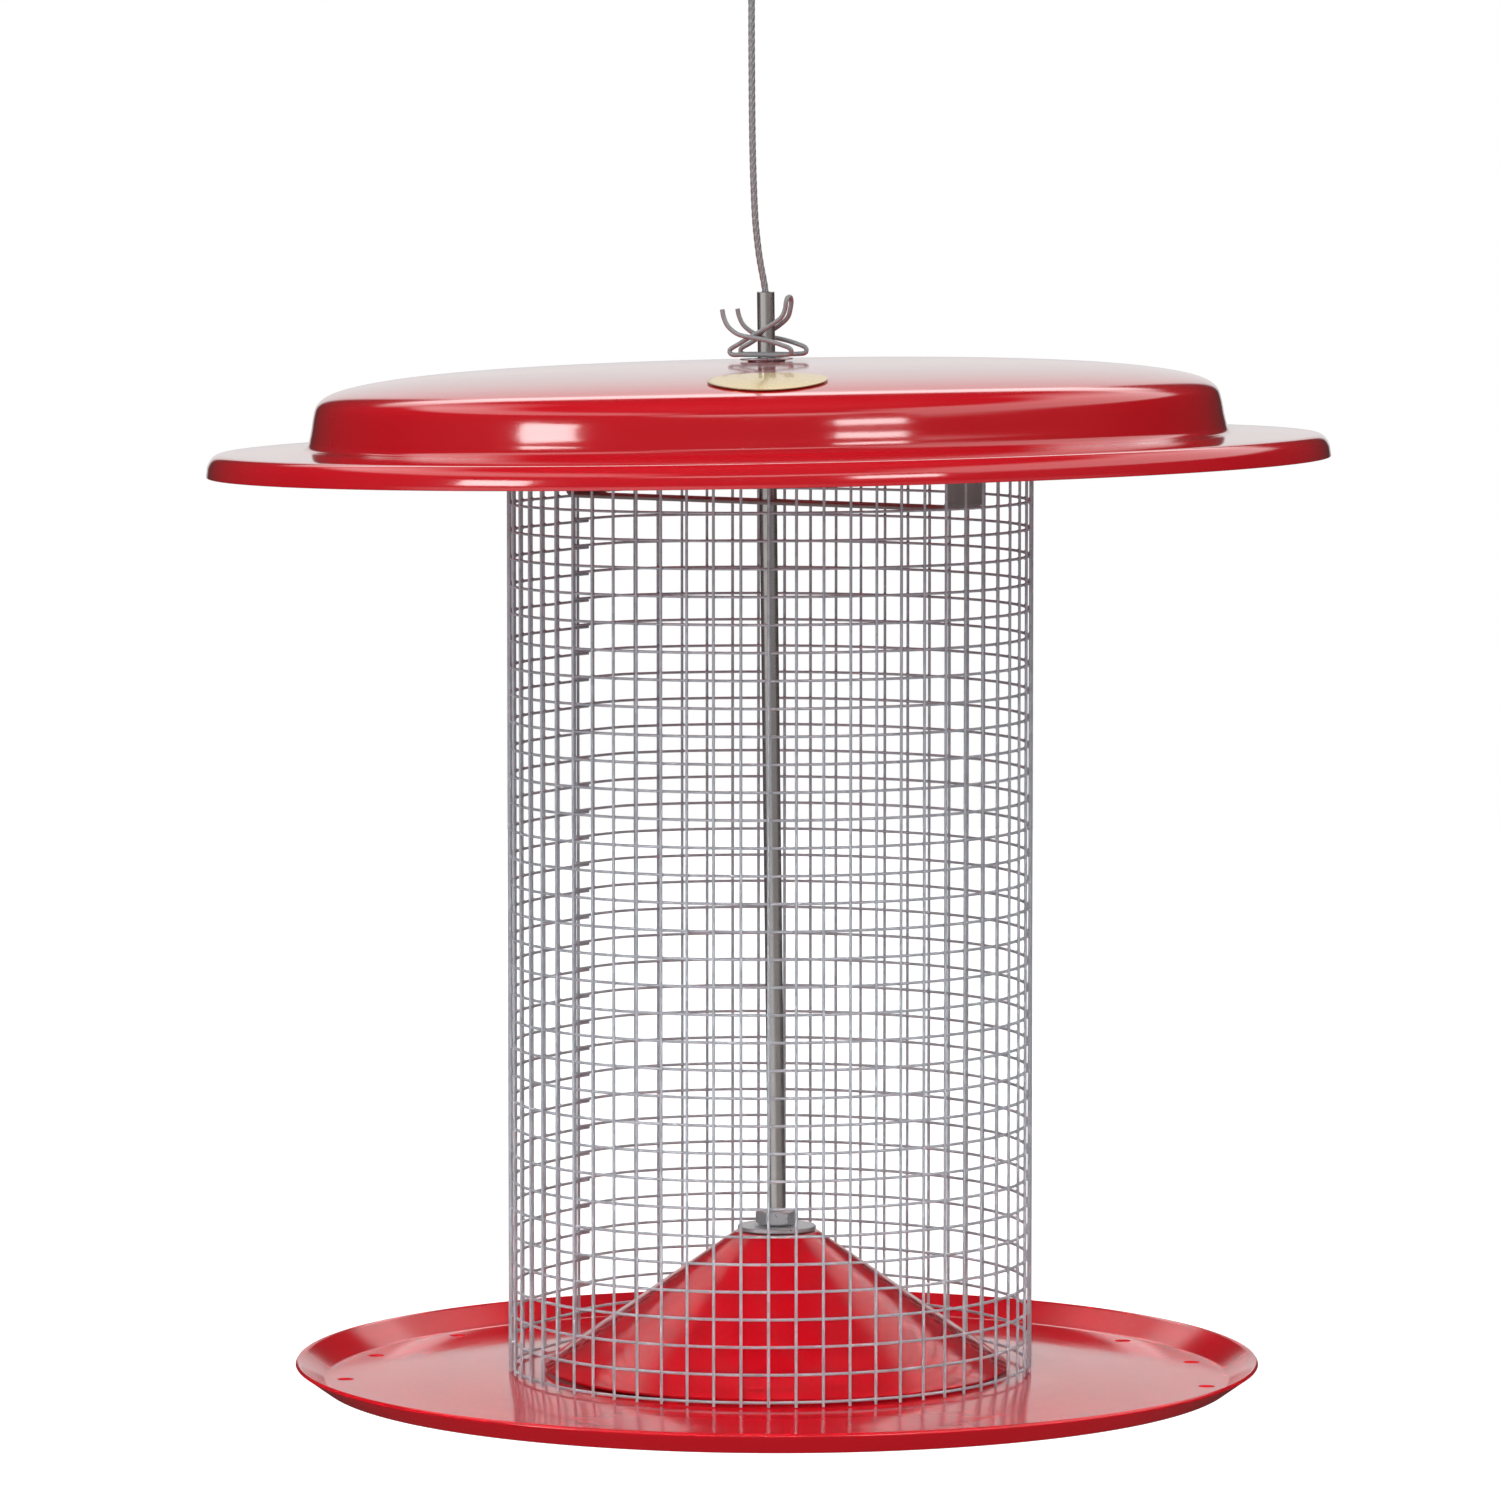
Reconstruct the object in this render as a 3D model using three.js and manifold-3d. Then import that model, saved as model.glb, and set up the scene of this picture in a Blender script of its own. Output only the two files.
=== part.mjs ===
// Hanging mesh bird feeder: a spun tray and seed cone, a wire mesh cylinder, a spun lid that
// slides up a steel stem, a spring clip that holds the lid down and a wire rope to hang it by.
// Millimetres, +Z up. Heights are counted from the tray's underside while the pieces are made,
// and the whole feeder is then moved so that the origin is the top of the hanging loop's eye.
import * as THREE from "three";
import { mergeVertices } from "three/addons/utils/BufferGeometryUtils.js";
import Module from "manifold-3d";

// Driving dimensions
const gap = 0.3; // between pieces that touch
const sheet = 0.9; // spun aluminium of tray, cone and lid
const overrun = 2; // how far a cutter passes its wall

const trayRimDiameter = 226.8;
const trayFlare = 7.2; // width of the flared wall outside the flat floor
const trayDepth = 5.7;
const trayBend = 1.6;
const drainHoleDiameter = 4;
const drainRingInset = 4.6; // from the floor's edge in to the holes' centres
const drainHoleCount = 17;
const drainPhase = THREE.MathUtils.degToRad(-7.5);

const meshDiameter = 123.2;
const meshPitch = 6.35;
const meshWireDiameter = 0.7;
const meshRowCount = 36;
const meshTopStub = 3.9;
const meshShift = 1.6; // the mesh stands this far to the left of the stem's nut
const wiresAround = 60;
const wiresPerBar = 2;
const ringsPerBar = 4;

const coneTopDiameter = 19.4;
const coneHeight = 35.7;
const coneClearance = 0.9;

const stemDiameter = 4.1;
const stemBore = 2.2;
const stemAboveLid = 16.2;
const stemTail = 6;
const stemLean = THREE.MathUtils.degToRad(0.7);

const coneWasherDiameter = 18.4;
const trayWasherDiameter = 12.7;
const washerThickness = 1;
const nutAcrossFlats = 8.73;
const nutHeight = 3.2;

const lidDiameter = 262.6;
const lidEdgeHeight = 5.3;
const lidEdgeFlare = 1.2;
const lidEdgeRound = 2.4;
const lidBrimWidth = 24.05; // from the edge in to the foot of the crown
const crownFootHeight = 6.1;
const crownFootRound = 2.4;
const shoulderInset = 1.55; // from the crown's foot in to its shoulder
const shoulderHeight = 15;
const domeInset = 7.3; // from the shoulder in to the dome's edge
const domeEdgeHeight = 19.7;
const domeHeight = 24.4;
const lidTilt = THREE.MathUtils.degToRad(1.12);

const eyeletBore = 7.8;
const eyeletWall = 0.4;
const eyeletFlange = 12.4;

const labelDiameter = 27;
const labelThickness = 0.2;
const labelInset = 14.9; // from the dome's edge in to the label's middle

const barWidth = 12.7;
const barThickness = 0.8;
const barDrop = 29.9; // from the mesh's top edge down to the bar
const barTab = 16;
const barHole = 6;
const barTurn = THREE.MathUtils.degToRad(-41.2);

const clipWireDiameter = 1.1;
const clipReach = 9.3;
const clipHeight = 15.5;
const clipPassGap = 0.55;
const clipTurn = THREE.MathUtils.degToRad(-25);

const cableDiameter = 1.6;
const sleeveLength = 9.5;
const sleeveWidth = 5.6;
const sleeveThickness = 3.4;
const loopHeight = 29.7;
const loopWidth = 17;
const stopDiameter = 4;
const stopLength = 5;
const cableTail = 1;

// Facets around a round piece
const largeFacets = 60;
const smallFacets = 20;
const cableSides = 8;
const clipSides = 6;
const nutSides = 6;

// Worked-out sizes
const stemRadius = stemDiameter / 2;
const cableRadius = cableDiameter / 2;
const meshRadius = meshDiameter / 2;
const meshInnerRadius = meshRadius - 2 * meshWireDiameter;
const meshBottom = sheet + gap;
const meshTop = meshBottom + meshPitch / 2 + meshRowCount * meshPitch + meshTopStub;
const trayFloorRadius = trayRimDiameter / 2 - trayFlare;
const drainRingRadius = trayFloorRadius - drainRingInset;
const crownFootRadius = lidDiameter / 2 - lidBrimWidth;
const shoulderRadius = crownFootRadius - shoulderInset;
const domeRadius = shoulderRadius - domeInset;
const labelOffset = domeRadius - labelInset;
const barHeight = meshTop - barDrop;
const coneBaseRadius = meshInnerRadius - meshShift - coneClearance;
const washerBottom = coneHeight + gap;
const nutBottom = washerBottom + washerThickness + gap;
const lowerWasherTop = -gap;
const lowerNutTop = lowerWasherTop - washerThickness - gap;
const lowerNutBottom = lowerNutTop - nutHeight;
const stemBottom = -stemTail;
const boreRadius = stemRadius + gap;

// The stem leans to the left about the middle of the upper nut
const leanHeight = nutBottom + nutHeight / 2;
const stemAxis = new THREE.Vector3(-Math.sin(stemLean), 0, Math.cos(stemLean));
const stemX = (height) => -(height - leanHeight) * Math.tan(stemLean);
const sheetHoleRadius = stemRadius + gap + Math.abs(stemX(0));

// The cable's free stretch, from just inside the stem's mouth up to the crimped sleeve: points
// chosen by hand, x and height
const cableRoute = [
  [-2.68, 255.7], [-2.8, 257], [-3.08, 258.8], [-3.62, 261.6], [-4.18, 264.9],
  [-4.62, 268.4], [-4.98, 272], [-5.24, 276], [-5.47, 281.5], [-5.68, 288.5],
  [-5.82, 297], [-5.9, 307], [-5.95, 317], [-5.95, 322.5], [-5.95, 328.2],
];
const cableStepShare = 2.5;
const loopStepShare = 1.6;
const loopNeckShare = 0.42;
const cableFoot = cableRoute[0];
const cableHead = cableRoute[cableRoute.length - 1];
const strandOffset = cableRadius + gap;
const hangX = cableHead[0] + strandOffset;
const sleeveBottom = cableHead[1] + gap;
const loopFoot = sleeveBottom + sleeveLength + gap;
const hangHeight = loopFoot + loopHeight;

// Finishes
const enamel = new THREE.MeshStandardMaterial({ color: 0xcc1722, roughness: 0.18, metalness: 0 });
const galvanised = new THREE.MeshStandardMaterial({ color: 0x8d8f90, roughness: 0.45, metalness: 0.9 });
const zinc = new THREE.MeshStandardMaterial({ color: 0xa9abad, roughness: 0.35, metalness: 0.95 });
const steel = new THREE.MeshStandardMaterial({ color: 0x9a9794, roughness: 0.28, metalness: 1 });
const strap = new THREE.MeshStandardMaterial({ color: 0x5e5654, roughness: 0.5, metalness: 0.85 });
const rope = new THREE.MeshStandardMaterial({ color: 0x7f8182, roughness: 0.4, metalness: 0.95 });
const foil = new THREE.MeshStandardMaterial({ color: 0xe3cf9c, roughness: 0.3, metalness: 0.6 });

const wasm = await Module();
wasm.setup();

const feeder = new THREE.Group();

function addMesh(parent, name, geometry, material) {
  const mesh = new THREE.Mesh(outward(geometry), material);
  mesh.name = name;
  parent.add(mesh);
  return mesh;
}

// Keeps only positions, merges what coincides and turns the faces outwards
function outward(geometry) {
  geometry.deleteAttribute("normal");
  geometry.deleteAttribute("uv");
  const merged = mergeVertices(geometry, 1e-4);
  const index = merged.index.array;
  const a = new THREE.Vector3();
  const b = new THREE.Vector3();
  const c = new THREE.Vector3();
  const position = merged.attributes.position;
  let volume = 0;
  for (let i = 0; i < index.length; i += 3) {
    a.fromBufferAttribute(position, index[i]);
    b.fromBufferAttribute(position, index[i + 1]);
    c.fromBufferAttribute(position, index[i + 2]);
    volume += a.dot(b.cross(c));
  }
  if (volume < 0) {
    for (let i = 0; i < index.length; i += 3) {
      [index[i + 1], index[i + 2]] = [index[i + 2], index[i + 1]];
    }
  }
  merged.computeVertexNormals();
  return merged;
}

function toSolid(geometry) {
  const merged = outward(geometry);
  return new wasm.Manifold(new wasm.Mesh({
    numProp: 3,
    vertProperties: new Float32Array(merged.attributes.position.array),
    triVerts: new Uint32Array(merged.index.array),
  }));
}

function toGeometry(solid) {
  const mesh = solid.getMesh();
  const geometry = new THREE.BufferGeometry();
  geometry.setAttribute("position", new THREE.BufferAttribute(mesh.vertProperties, 3));
  geometry.setIndex(new THREE.BufferAttribute(mesh.triVerts, 1));
  return geometry;
}

// A closed profile of [radius, height] points turned about +Z
function turned(profile, facets) {
  const points = profile.map(([radius, height]) => new THREE.Vector2(radius, height));
  points.push(points[0].clone());
  const geometry = new THREE.LatheGeometry(points, facets);
  geometry.rotateX(Math.PI / 2);
  return geometry;
}

function washer(outerRadius, innerRadius, bottom, thickness) {
  const top = bottom + thickness;
  return turned([
    [innerRadius, bottom], [outerRadius, bottom], [outerRadius, top], [innerRadius, top],
  ], smallFacets);
}

function cylinder(radius, length, facets) {
  const geometry = new THREE.CylinderGeometry(radius, radius, length, facets);
  geometry.rotateX(Math.PI / 2);
  return geometry;
}

function hexNut(bottom) {
  const cornerRadius = nutAcrossFlats / 2 / Math.cos(Math.PI / nutSides);
  const outline = new THREE.Shape();
  for (let corner = 0; corner < nutSides; corner += 1) {
    const angle = corner * 2 * Math.PI / nutSides;
    const x = cornerRadius * Math.cos(angle);
    const y = cornerRadius * Math.sin(angle);
    if (corner === 0) outline.moveTo(x, y);
    else outline.lineTo(x, y);
  }
  outline.closePath();
  const bore = new THREE.Path();
  bore.absarc(0, 0, boreRadius, 0, 2 * Math.PI, true);
  outline.holes.push(bore);
  const geometry = new THREE.ExtrudeGeometry(outline, {
    depth: nutHeight, bevelEnabled: false, curveSegments: smallFacets / 2,
  });
  geometry.translate(0, 0, bottom);
  return geometry;
}

// A round tube with flat ends along a curve
function wire(curve, diameter, sides, steps) {
  const section = new THREE.Shape();
  for (let side = 0; side < sides; side += 1) {
    const angle = side * 2 * Math.PI / sides;
    const x = diameter / 2 * Math.cos(angle);
    const y = diameter / 2 * Math.sin(angle);
    if (side === 0) section.moveTo(x, y);
    else section.lineTo(x, y);
  }
  section.closePath();
  return new THREE.ExtrudeGeometry(section, { extrudePath: curve, steps, bevelEnabled: false });
}

// Tray: flat floor, flared wall, a drain hole ring and a centre hole for the stem
function makeTray() {
  const rim = trayRimDiameter / 2;
  const floor = trayFloorRadius;
  const flare = Math.atan2(trayDepth - sheet, rim - floor);
  const acrossX = sheet * Math.sin(flare);
  const underX = sheet * Math.tan(flare / 2);
  const inX = trayBend * Math.cos(flare);
  const inZ = trayBend * Math.sin(flare);
  const profile = [
    [sheetHoleRadius, 0],
    [floor + underX - trayBend, 0],
    [floor + underX + inX, inZ],
    [rim, trayDepth - sheet * Math.cos(flare)],
    [rim - acrossX / 2, trayDepth - sheet * Math.cos(flare) / 4],
    [rim - acrossX, trayDepth],
    [floor + inX, sheet + inZ],
    [floor - trayBend, sheet],
    [sheetHoleRadius, sheet],
  ];
  let tray = toSolid(turned(profile, largeFacets));
  for (let hole = 0; hole < drainHoleCount; hole += 1) {
    const angle = drainPhase + hole * 2 * Math.PI / drainHoleCount;
    const drill = cylinder(drainHoleDiameter / 2, sheet + 2 * overrun, smallFacets / 2);
    const x = drainRingRadius * Math.sin(angle);
    const y = drainRingRadius * Math.cos(angle);
    drill.translate(x, y, sheet / 2);
    tray = tray.subtract(toSolid(drill));
  }
  addMesh(feeder, "tray", toGeometry(tray), enamel);
}

// Seed cone: a hollow frustum that stands on the tray's floor and sheds seed to the mesh
function makeCone() {
  const bottom = sheet + gap;
  const topRadius = coneTopDiameter / 2;
  const slope = Math.atan2(coneHeight - bottom, coneBaseRadius - topRadius);
  const down = sheet / Math.cos(slope);
  const inward = sheet / Math.sin(slope);
  const shift = sheet * Math.tan(slope / 2);
  addMesh(feeder, "seed_cone", turned([
    [sheetHoleRadius, coneHeight - sheet],
    [topRadius - shift, coneHeight - sheet],
    [coneBaseRadius - inward, bottom],
    [coneBaseRadius, bottom],
    [coneBaseRadius, bottom + down / 2],
    [topRadius, coneHeight],
    [sheetHoleRadius, coneHeight],
  ], largeFacets), enamel);
}

// Fasteners that clamp cone and tray between two nuts on the stem's thread
function makeFasteners() {
  const lowerX = stemX(lowerNutTop);
  const upper = new THREE.Group();
  const lower = new THREE.Group();
  lower.position.x = lowerX;
  addMesh(upper, "cone_washer",
    washer(coneWasherDiameter / 2, boreRadius, washerBottom, washerThickness), zinc);
  addMesh(upper, "upper_nut", hexNut(nutBottom), zinc);
  addMesh(lower, "tray_washer",
    washer(trayWasherDiameter / 2, boreRadius, lowerWasherTop - washerThickness, washerThickness),
    zinc);
  addMesh(lower, "lower_nut", hexNut(lowerNutBottom), zinc);
  feeder.add(upper, lower);
}

// Everything on the stem's own leaning axis
function onStem(height) {
  const group = new THREE.Group();
  group.position.set(stemX(height), 0, height);
  group.rotation.y = -stemLean;
  return group;
}

// Stem tube, the cable inside it and the crimped stop that carries the feeder's weight
function makeStem() {
  const length = (stemTop - stemBottom) / Math.cos(stemLean);
  const stem = onStem(stemBottom);
  addMesh(stem, "stem_tube",
    washer(stemRadius, stemBore / 2, 0, length), steel);
  const stopTop = -gap;
  const stopHoleRadius = cableRadius + gap;
  addMesh(stem, "cable_stop",
    washer(stopDiameter / 2, stopHoleRadius, stopTop - stopLength, stopLength), steel);
  const coreBottom = stopTop - stopLength - cableTail;
  const coreTop = (cableFoot[1] - gap - stemBottom) / Math.cos(stemLean);
  const core = cylinder(cableRadius, coreTop - coreBottom, cableSides);
  core.translate(0, 0, (coreTop + coreBottom) / 2);
  addMesh(stem, "cable_in_stem", core, rope);
  feeder.add(stem);
}

// Free cable, the crimped sleeve above it and the loop that goes over a hook
function makeCable() {
  const route = new THREE.CatmullRomCurve3(
    cableRoute.map(([x, height]) => new THREE.Vector3(x, 0, height)), false, "centripetal",
  );
  const steps = Math.round(route.getLength() / (cableStepShare * cableDiameter));
  addMesh(feeder, "hanging_cable", wire(route, cableDiameter, cableSides, steps), rope);

  const outline = new THREE.Shape();
  const flat = (sleeveWidth - sleeveThickness) / 2;
  outline.absarc(flat, 0, sleeveThickness / 2, -Math.PI / 2, Math.PI / 2, false);
  outline.absarc(-flat, 0, sleeveThickness / 2, Math.PI / 2, 3 * Math.PI / 2, false);
  outline.closePath();
  const sleeve = new THREE.ExtrudeGeometry(outline, {
    depth: sleeveLength, bevelEnabled: false, curveSegments: cableSides,
  });
  sleeve.translate(hangX, 0, sleeveBottom);
  addMesh(feeder, "cable_sleeve", sleeve, steel);

  // Teardrop: two strands leave the sleeve side by side and meet in a round eye
  const eyeRadius = loopWidth / 2;
  const eyeHeight = loopFoot + loopHeight + cableRadius - eyeRadius;
  const half = [
    [strandOffset, loopFoot],
    [strandOffset, loopFoot + cableDiameter],
    [strandOffset + (eyeRadius - strandOffset) * loopNeckShare, (loopFoot + eyeHeight) / 2],
  ];
  const arcSteps = 8;
  for (let step = 0; step <= arcSteps; step += 1) {
    const angle = -Math.PI / 12 + step * (Math.PI / 2 + Math.PI / 12) / arcSteps;
    half.push([eyeRadius * Math.cos(angle), eyeHeight + eyeRadius * Math.sin(angle)]);
  }
  const right = half.map(([x, height]) => new THREE.Vector3(hangX + x, 0, height));
  const left = half.slice(0, -1).reverse()
    .map(([x, height]) => new THREE.Vector3(hangX - x, 0, height));
  const loop = new THREE.CatmullRomCurve3([...right, ...left], false, "centripetal");
  const loopSteps = Math.round(loop.getLength() / (loopStepShare * cableDiameter));
  addMesh(feeder, "cable_loop", wire(loop, cableDiameter, cableSides, loopSteps), rope);
}

// Mesh cylinder: one lattice, each bar as wide as the wires that it stands for
function makeMesh() {
  const columns = wiresAround / wiresPerBar;
  const rows = meshRowCount / ringsPerBar + 1;
  const wireArea = Math.PI * meshWireDiameter * meshWireDiameter / 4;
  const barSection = 2 * meshWireDiameter;
  const columnWidth = wiresPerBar * wireArea / barSection;
  const ringWidth = ringsPerBar * wireArea / barSection;
  const angles = [];
  for (let column = 0; column < columns; column += 1) {
    const middle = column * 2 * Math.PI / columns;
    angles.push(middle - columnWidth / 2 / meshRadius, middle + columnWidth / 2 / meshRadius);
  }
  const levels = [meshBottom];
  for (let row = 0; row < rows; row += 1) {
    const middle = meshBottom + meshPitch / 2 + row * ringsPerBar * meshPitch;
    levels.push(middle - ringWidth / 2, middle + ringWidth / 2);
  }
  levels.push(meshTop);
  const around = angles.length;
  const bands = levels.length - 1;
  const filled = (segment, band) =>
    band >= 0 && band < bands && (segment % 2 === 0 || band % 2 === 1);
  const corner = (side, segment, level) => {
    const angle = angles[segment % around];
    const radius = side === 0 ? meshInnerRadius : meshRadius;
    return [radius * Math.cos(angle), radius * Math.sin(angle), levels[level]];
  };
  const positions = [];
  const quad = (a, b, c, d) => positions.push(...a, ...b, ...c, ...a, ...c, ...d);
  for (let segment = 0; segment < around; segment += 1) {
    for (let band = 0; band < bands; band += 1) {
      if (!filled(segment, band)) continue;
      const [s, t] = [segment + 1, band + 1];
      quad(corner(1, segment, band), corner(1, s, band), corner(1, s, t), corner(1, segment, t));
      quad(corner(0, segment, band), corner(0, segment, t), corner(0, s, t), corner(0, s, band));
      if (!filled(s % around, band)) {
        quad(corner(1, s, band), corner(0, s, band), corner(0, s, t), corner(1, s, t));
      }
      if (!filled((segment + around - 1) % around, band)) {
        quad(corner(0, segment, band), corner(1, segment, band),
          corner(1, segment, t), corner(0, segment, t));
      }
      if (!filled(segment, t)) {
        quad(corner(1, segment, t), corner(1, s, t), corner(0, s, t), corner(0, segment, t));
      }
      if (!filled(segment, band - 1)) {
        quad(corner(0, segment, band), corner(0, s, band),
          corner(1, s, band), corner(1, segment, band));
      }
    }
  }
  const geometry = new THREE.BufferGeometry();
  geometry.setAttribute("position", new THREE.Float32BufferAttribute(positions, 3));
  geometry.translate(-meshShift, 0, 0);
  addMesh(feeder, "mesh_cylinder", geometry, galvanised);
}

// Crossbar: a flat strap across the mesh with its ends bent up, and a hole for the stem
function makeCrossbar() {
  const chord = meshInnerRadius * Math.cos(Math.PI * wiresPerBar / wiresAround);
  const reach = Math.sqrt((chord - gap) ** 2 - (barWidth / 2) ** 2);
  const side = new THREE.Shape();
  side.moveTo(-reach, barTab);
  side.lineTo(-reach, 0);
  side.lineTo(reach, 0);
  side.lineTo(reach, barTab);
  side.lineTo(reach - barThickness, barTab);
  side.lineTo(reach - barThickness, barThickness);
  side.lineTo(barThickness - reach, barThickness);
  side.lineTo(barThickness - reach, barTab);
  side.closePath();
  const strip = new THREE.ExtrudeGeometry(side, { depth: barWidth, bevelEnabled: false });
  strip.translate(0, 0, -barWidth / 2);
  strip.rotateX(Math.PI / 2);
  const drill = cylinder(barHole / 2, barThickness + 2 * overrun, smallFacets);
  const bar = toGeometry(toSolid(strip).subtract(toSolid(drill)));
  bar.rotateZ(barTurn);
  bar.translate(-meshShift, 0, barHeight);
  addMesh(feeder, "crossbar", bar, strap);
}

// The lid's dome: radius and height above the lid's lower edge
const domeRise = domeHeight - domeEdgeHeight;
const domePullShares = [0.53, 0.854];
const domeLiftShare = 0.745;
const dome = new THREE.CubicBezierCurve(
  new THREE.Vector2(0, domeHeight),
  new THREE.Vector2(domePullShares[0] * domeRadius, domeHeight),
  new THREE.Vector2(domePullShares[1] * domeRadius, domeEdgeHeight + domeLiftShare * domeRise),
  new THREE.Vector2(domeRadius, domeEdgeHeight),
);

function domeAt(radius) {
  let low = 0;
  let high = 1;
  for (let step = 0; step < 40; step += 1) {
    const middle = (low + high) / 2;
    if (dome.getPoint(middle).x < radius) low = middle;
    else high = middle;
  }
  return dome.getPoint(low).y;
}

// The lid rests on the mesh's highest wires on the side to which it tilts
const seatRadius = meshRadius + meshShift;
const seatDrop = seatRadius * Math.sin(lidTilt);
const lidBase = meshTop + gap + seatDrop - (domeAt(meshRadius) - sheet);
const apexHeight = lidBase + domeHeight;
const stemTop = apexHeight + stemAboveLid;

// Shares of the crown's corner, of its foot and of the turned-down edge
const cornerInShare = 0.1;
const cornerDownShare = 0.32;
const cornerStepShares = [0.3, 0.55, 0.78, 1];
const footInShare = 0.1;
const footBendShare = 0.25;
const edgeInShare = 0.25;
const edgeDownShare = 0.3;
const edgeOutShare = 0.75;
const edgeLiftShare = 0.46;

// Upper face of the lid's sheet from the hole to the edge, then the lower face a sheet inside it
function lidProfile() {
  const edge = lidDiameter / 2;
  const edgeTop = edge - lidEdgeFlare;
  const foot = crownFootRadius;
  const shoulder = shoulderRadius;
  const holeRadius = eyeletBore / 2 + eyeletWall + gap;
  const brimSlope = (crownFootHeight - lidEdgeHeight) / (edgeTop - foot);
  const path = [];
  const domeSteps = 7;
  for (let step = 0; step <= domeSteps; step += 1) {
    const radius = holeRadius + (domeRadius - holeRadius) * step / domeSteps;
    path.push([radius, domeAt(radius)]);
  }
  const corner = new THREE.QuadraticBezierCurve(
    new THREE.Vector2(domeRadius, domeEdgeHeight),
    new THREE.Vector2(shoulder - domeInset * cornerInShare, domeEdgeHeight - domeRise * cornerDownShare),
    new THREE.Vector2(shoulder, shoulderHeight),
  );
  for (const share of cornerStepShares) path.push(corner.getPoint(share).toArray());
  path.push([foot - crownFootRound * footInShare, crownFootHeight + crownFootRound]);
  path.push([foot + crownFootRound * footBendShare, crownFootHeight + crownFootRound * footBendShare]);
  path.push([foot + crownFootRound, crownFootHeight - crownFootRound * brimSlope]);
  path.push([edgeTop - lidEdgeRound, lidEdgeHeight + lidEdgeRound * brimSlope]);
  path.push([edgeTop - lidEdgeRound * edgeInShare, lidEdgeHeight - lidEdgeRound * edgeDownShare]);
  path.push([edgeTop + lidEdgeFlare * edgeOutShare, lidEdgeHeight * edgeLiftShare]);
  path.push([edge, 0]);
  const outer = path.map(([radius, height]) => new THREE.Vector2(radius, height));
  const inner = outer.map((point, place) => {
    const before = outer[Math.max(place - 1, 0)];
    const after = outer[Math.min(place + 1, outer.length - 1)];
    const along = after.clone().sub(before).normalize();
    const normal = new THREE.Vector2(along.y, -along.x);
    if (place === outer.length - 1) normal.set(-1, 0);
    if (place === 0) normal.set(0, -1);
    return point.clone().addScaledVector(normal, sheet);
  });
  return [...outer, ...inner.reverse()].map((point) => [point.x, point.y]);
}

function makeLid() {
  const lid = new THREE.Group();
  const tiltedX = stemX(apexHeight) + domeHeight * Math.sin(lidTilt);
  lid.position.set(tiltedX, 0, apexHeight - domeHeight * Math.cos(lidTilt));
  lid.rotation.y = -lidTilt;
  addMesh(lid, "lid", turned(lidProfile(), largeFacets), enamel);

  // Eyelet: a barrel through the lid's hole with a flange on each face
  const bore = eyeletBore / 2;
  const barrel = bore + eyeletWall;
  const flange = eyeletFlange / 2;
  const above = domeHeight + gap;
  const below = domeAt(flange) - sheet - gap;
  addMesh(lid, "lid_eyelet", turned([
    [bore, below - eyeletWall],
    [flange, below - eyeletWall],
    [flange, below],
    [barrel, below],
    [barrel, above],
    [flange, above],
    [flange, above + eyeletWall],
    [bore, above + eyeletWall],
  ], smallFacets), zinc);

  // Label: a thin disc that follows the dome in front of the stem
  const rings = 3;
  const spokes = 24;
  const point = (ring, spoke, lift) => {
    const reach = labelDiameter / 2 * ring / rings;
    const angle = spoke * 2 * Math.PI / spokes;
    const x = reach * Math.cos(angle);
    const y = reach * Math.sin(angle) - labelOffset;
    return [x, y, domeAt(Math.hypot(x, y)) + gap + lift];
  };
  const positions = [];
  for (let spoke = 0; spoke < spokes; spoke += 1) {
    const next = (spoke + 1) % spokes;
    for (let ring = 0; ring < rings; ring += 1) {
      for (const lift of [0, labelThickness]) {
        const corners = [point(ring, spoke, lift), point(ring + 1, spoke, lift),
          point(ring + 1, next, lift), point(ring, next, lift)];
        if (lift === 0) corners.reverse();
        positions.push(...corners[0], ...corners[1], ...corners[2]);
        positions.push(...corners[0], ...corners[2], ...corners[3]);
      }
    }
    const rim = [point(rings, spoke, 0), point(rings, next, 0),
      point(rings, next, labelThickness), point(rings, spoke, labelThickness)];
    positions.push(...rim[0], ...rim[1], ...rim[2], ...rim[0], ...rim[2], ...rim[3]);
  }
  const label = new THREE.BufferGeometry();
  label.setAttribute("position", new THREE.Float32BufferAttribute(positions, 3));
  addMesh(lid, "lid_label", withoutSlivers(label), foil);
  feeder.add(lid);
}

// Drops triangles whose corners coincide, such as those at a disc's centre
function withoutSlivers(geometry) {
  geometry.deleteAttribute("normal");
  const merged = mergeVertices(geometry, 1e-4);
  const kept = [];
  const index = merged.index.array;
  for (let i = 0; i < index.length; i += 3) {
    const [a, b, c] = [index[i], index[i + 1], index[i + 2]];
    if (a !== b && b !== c && c !== a) kept.push(a, b, c);
  }
  merged.setIndex(kept);
  return merged;
}

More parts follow.
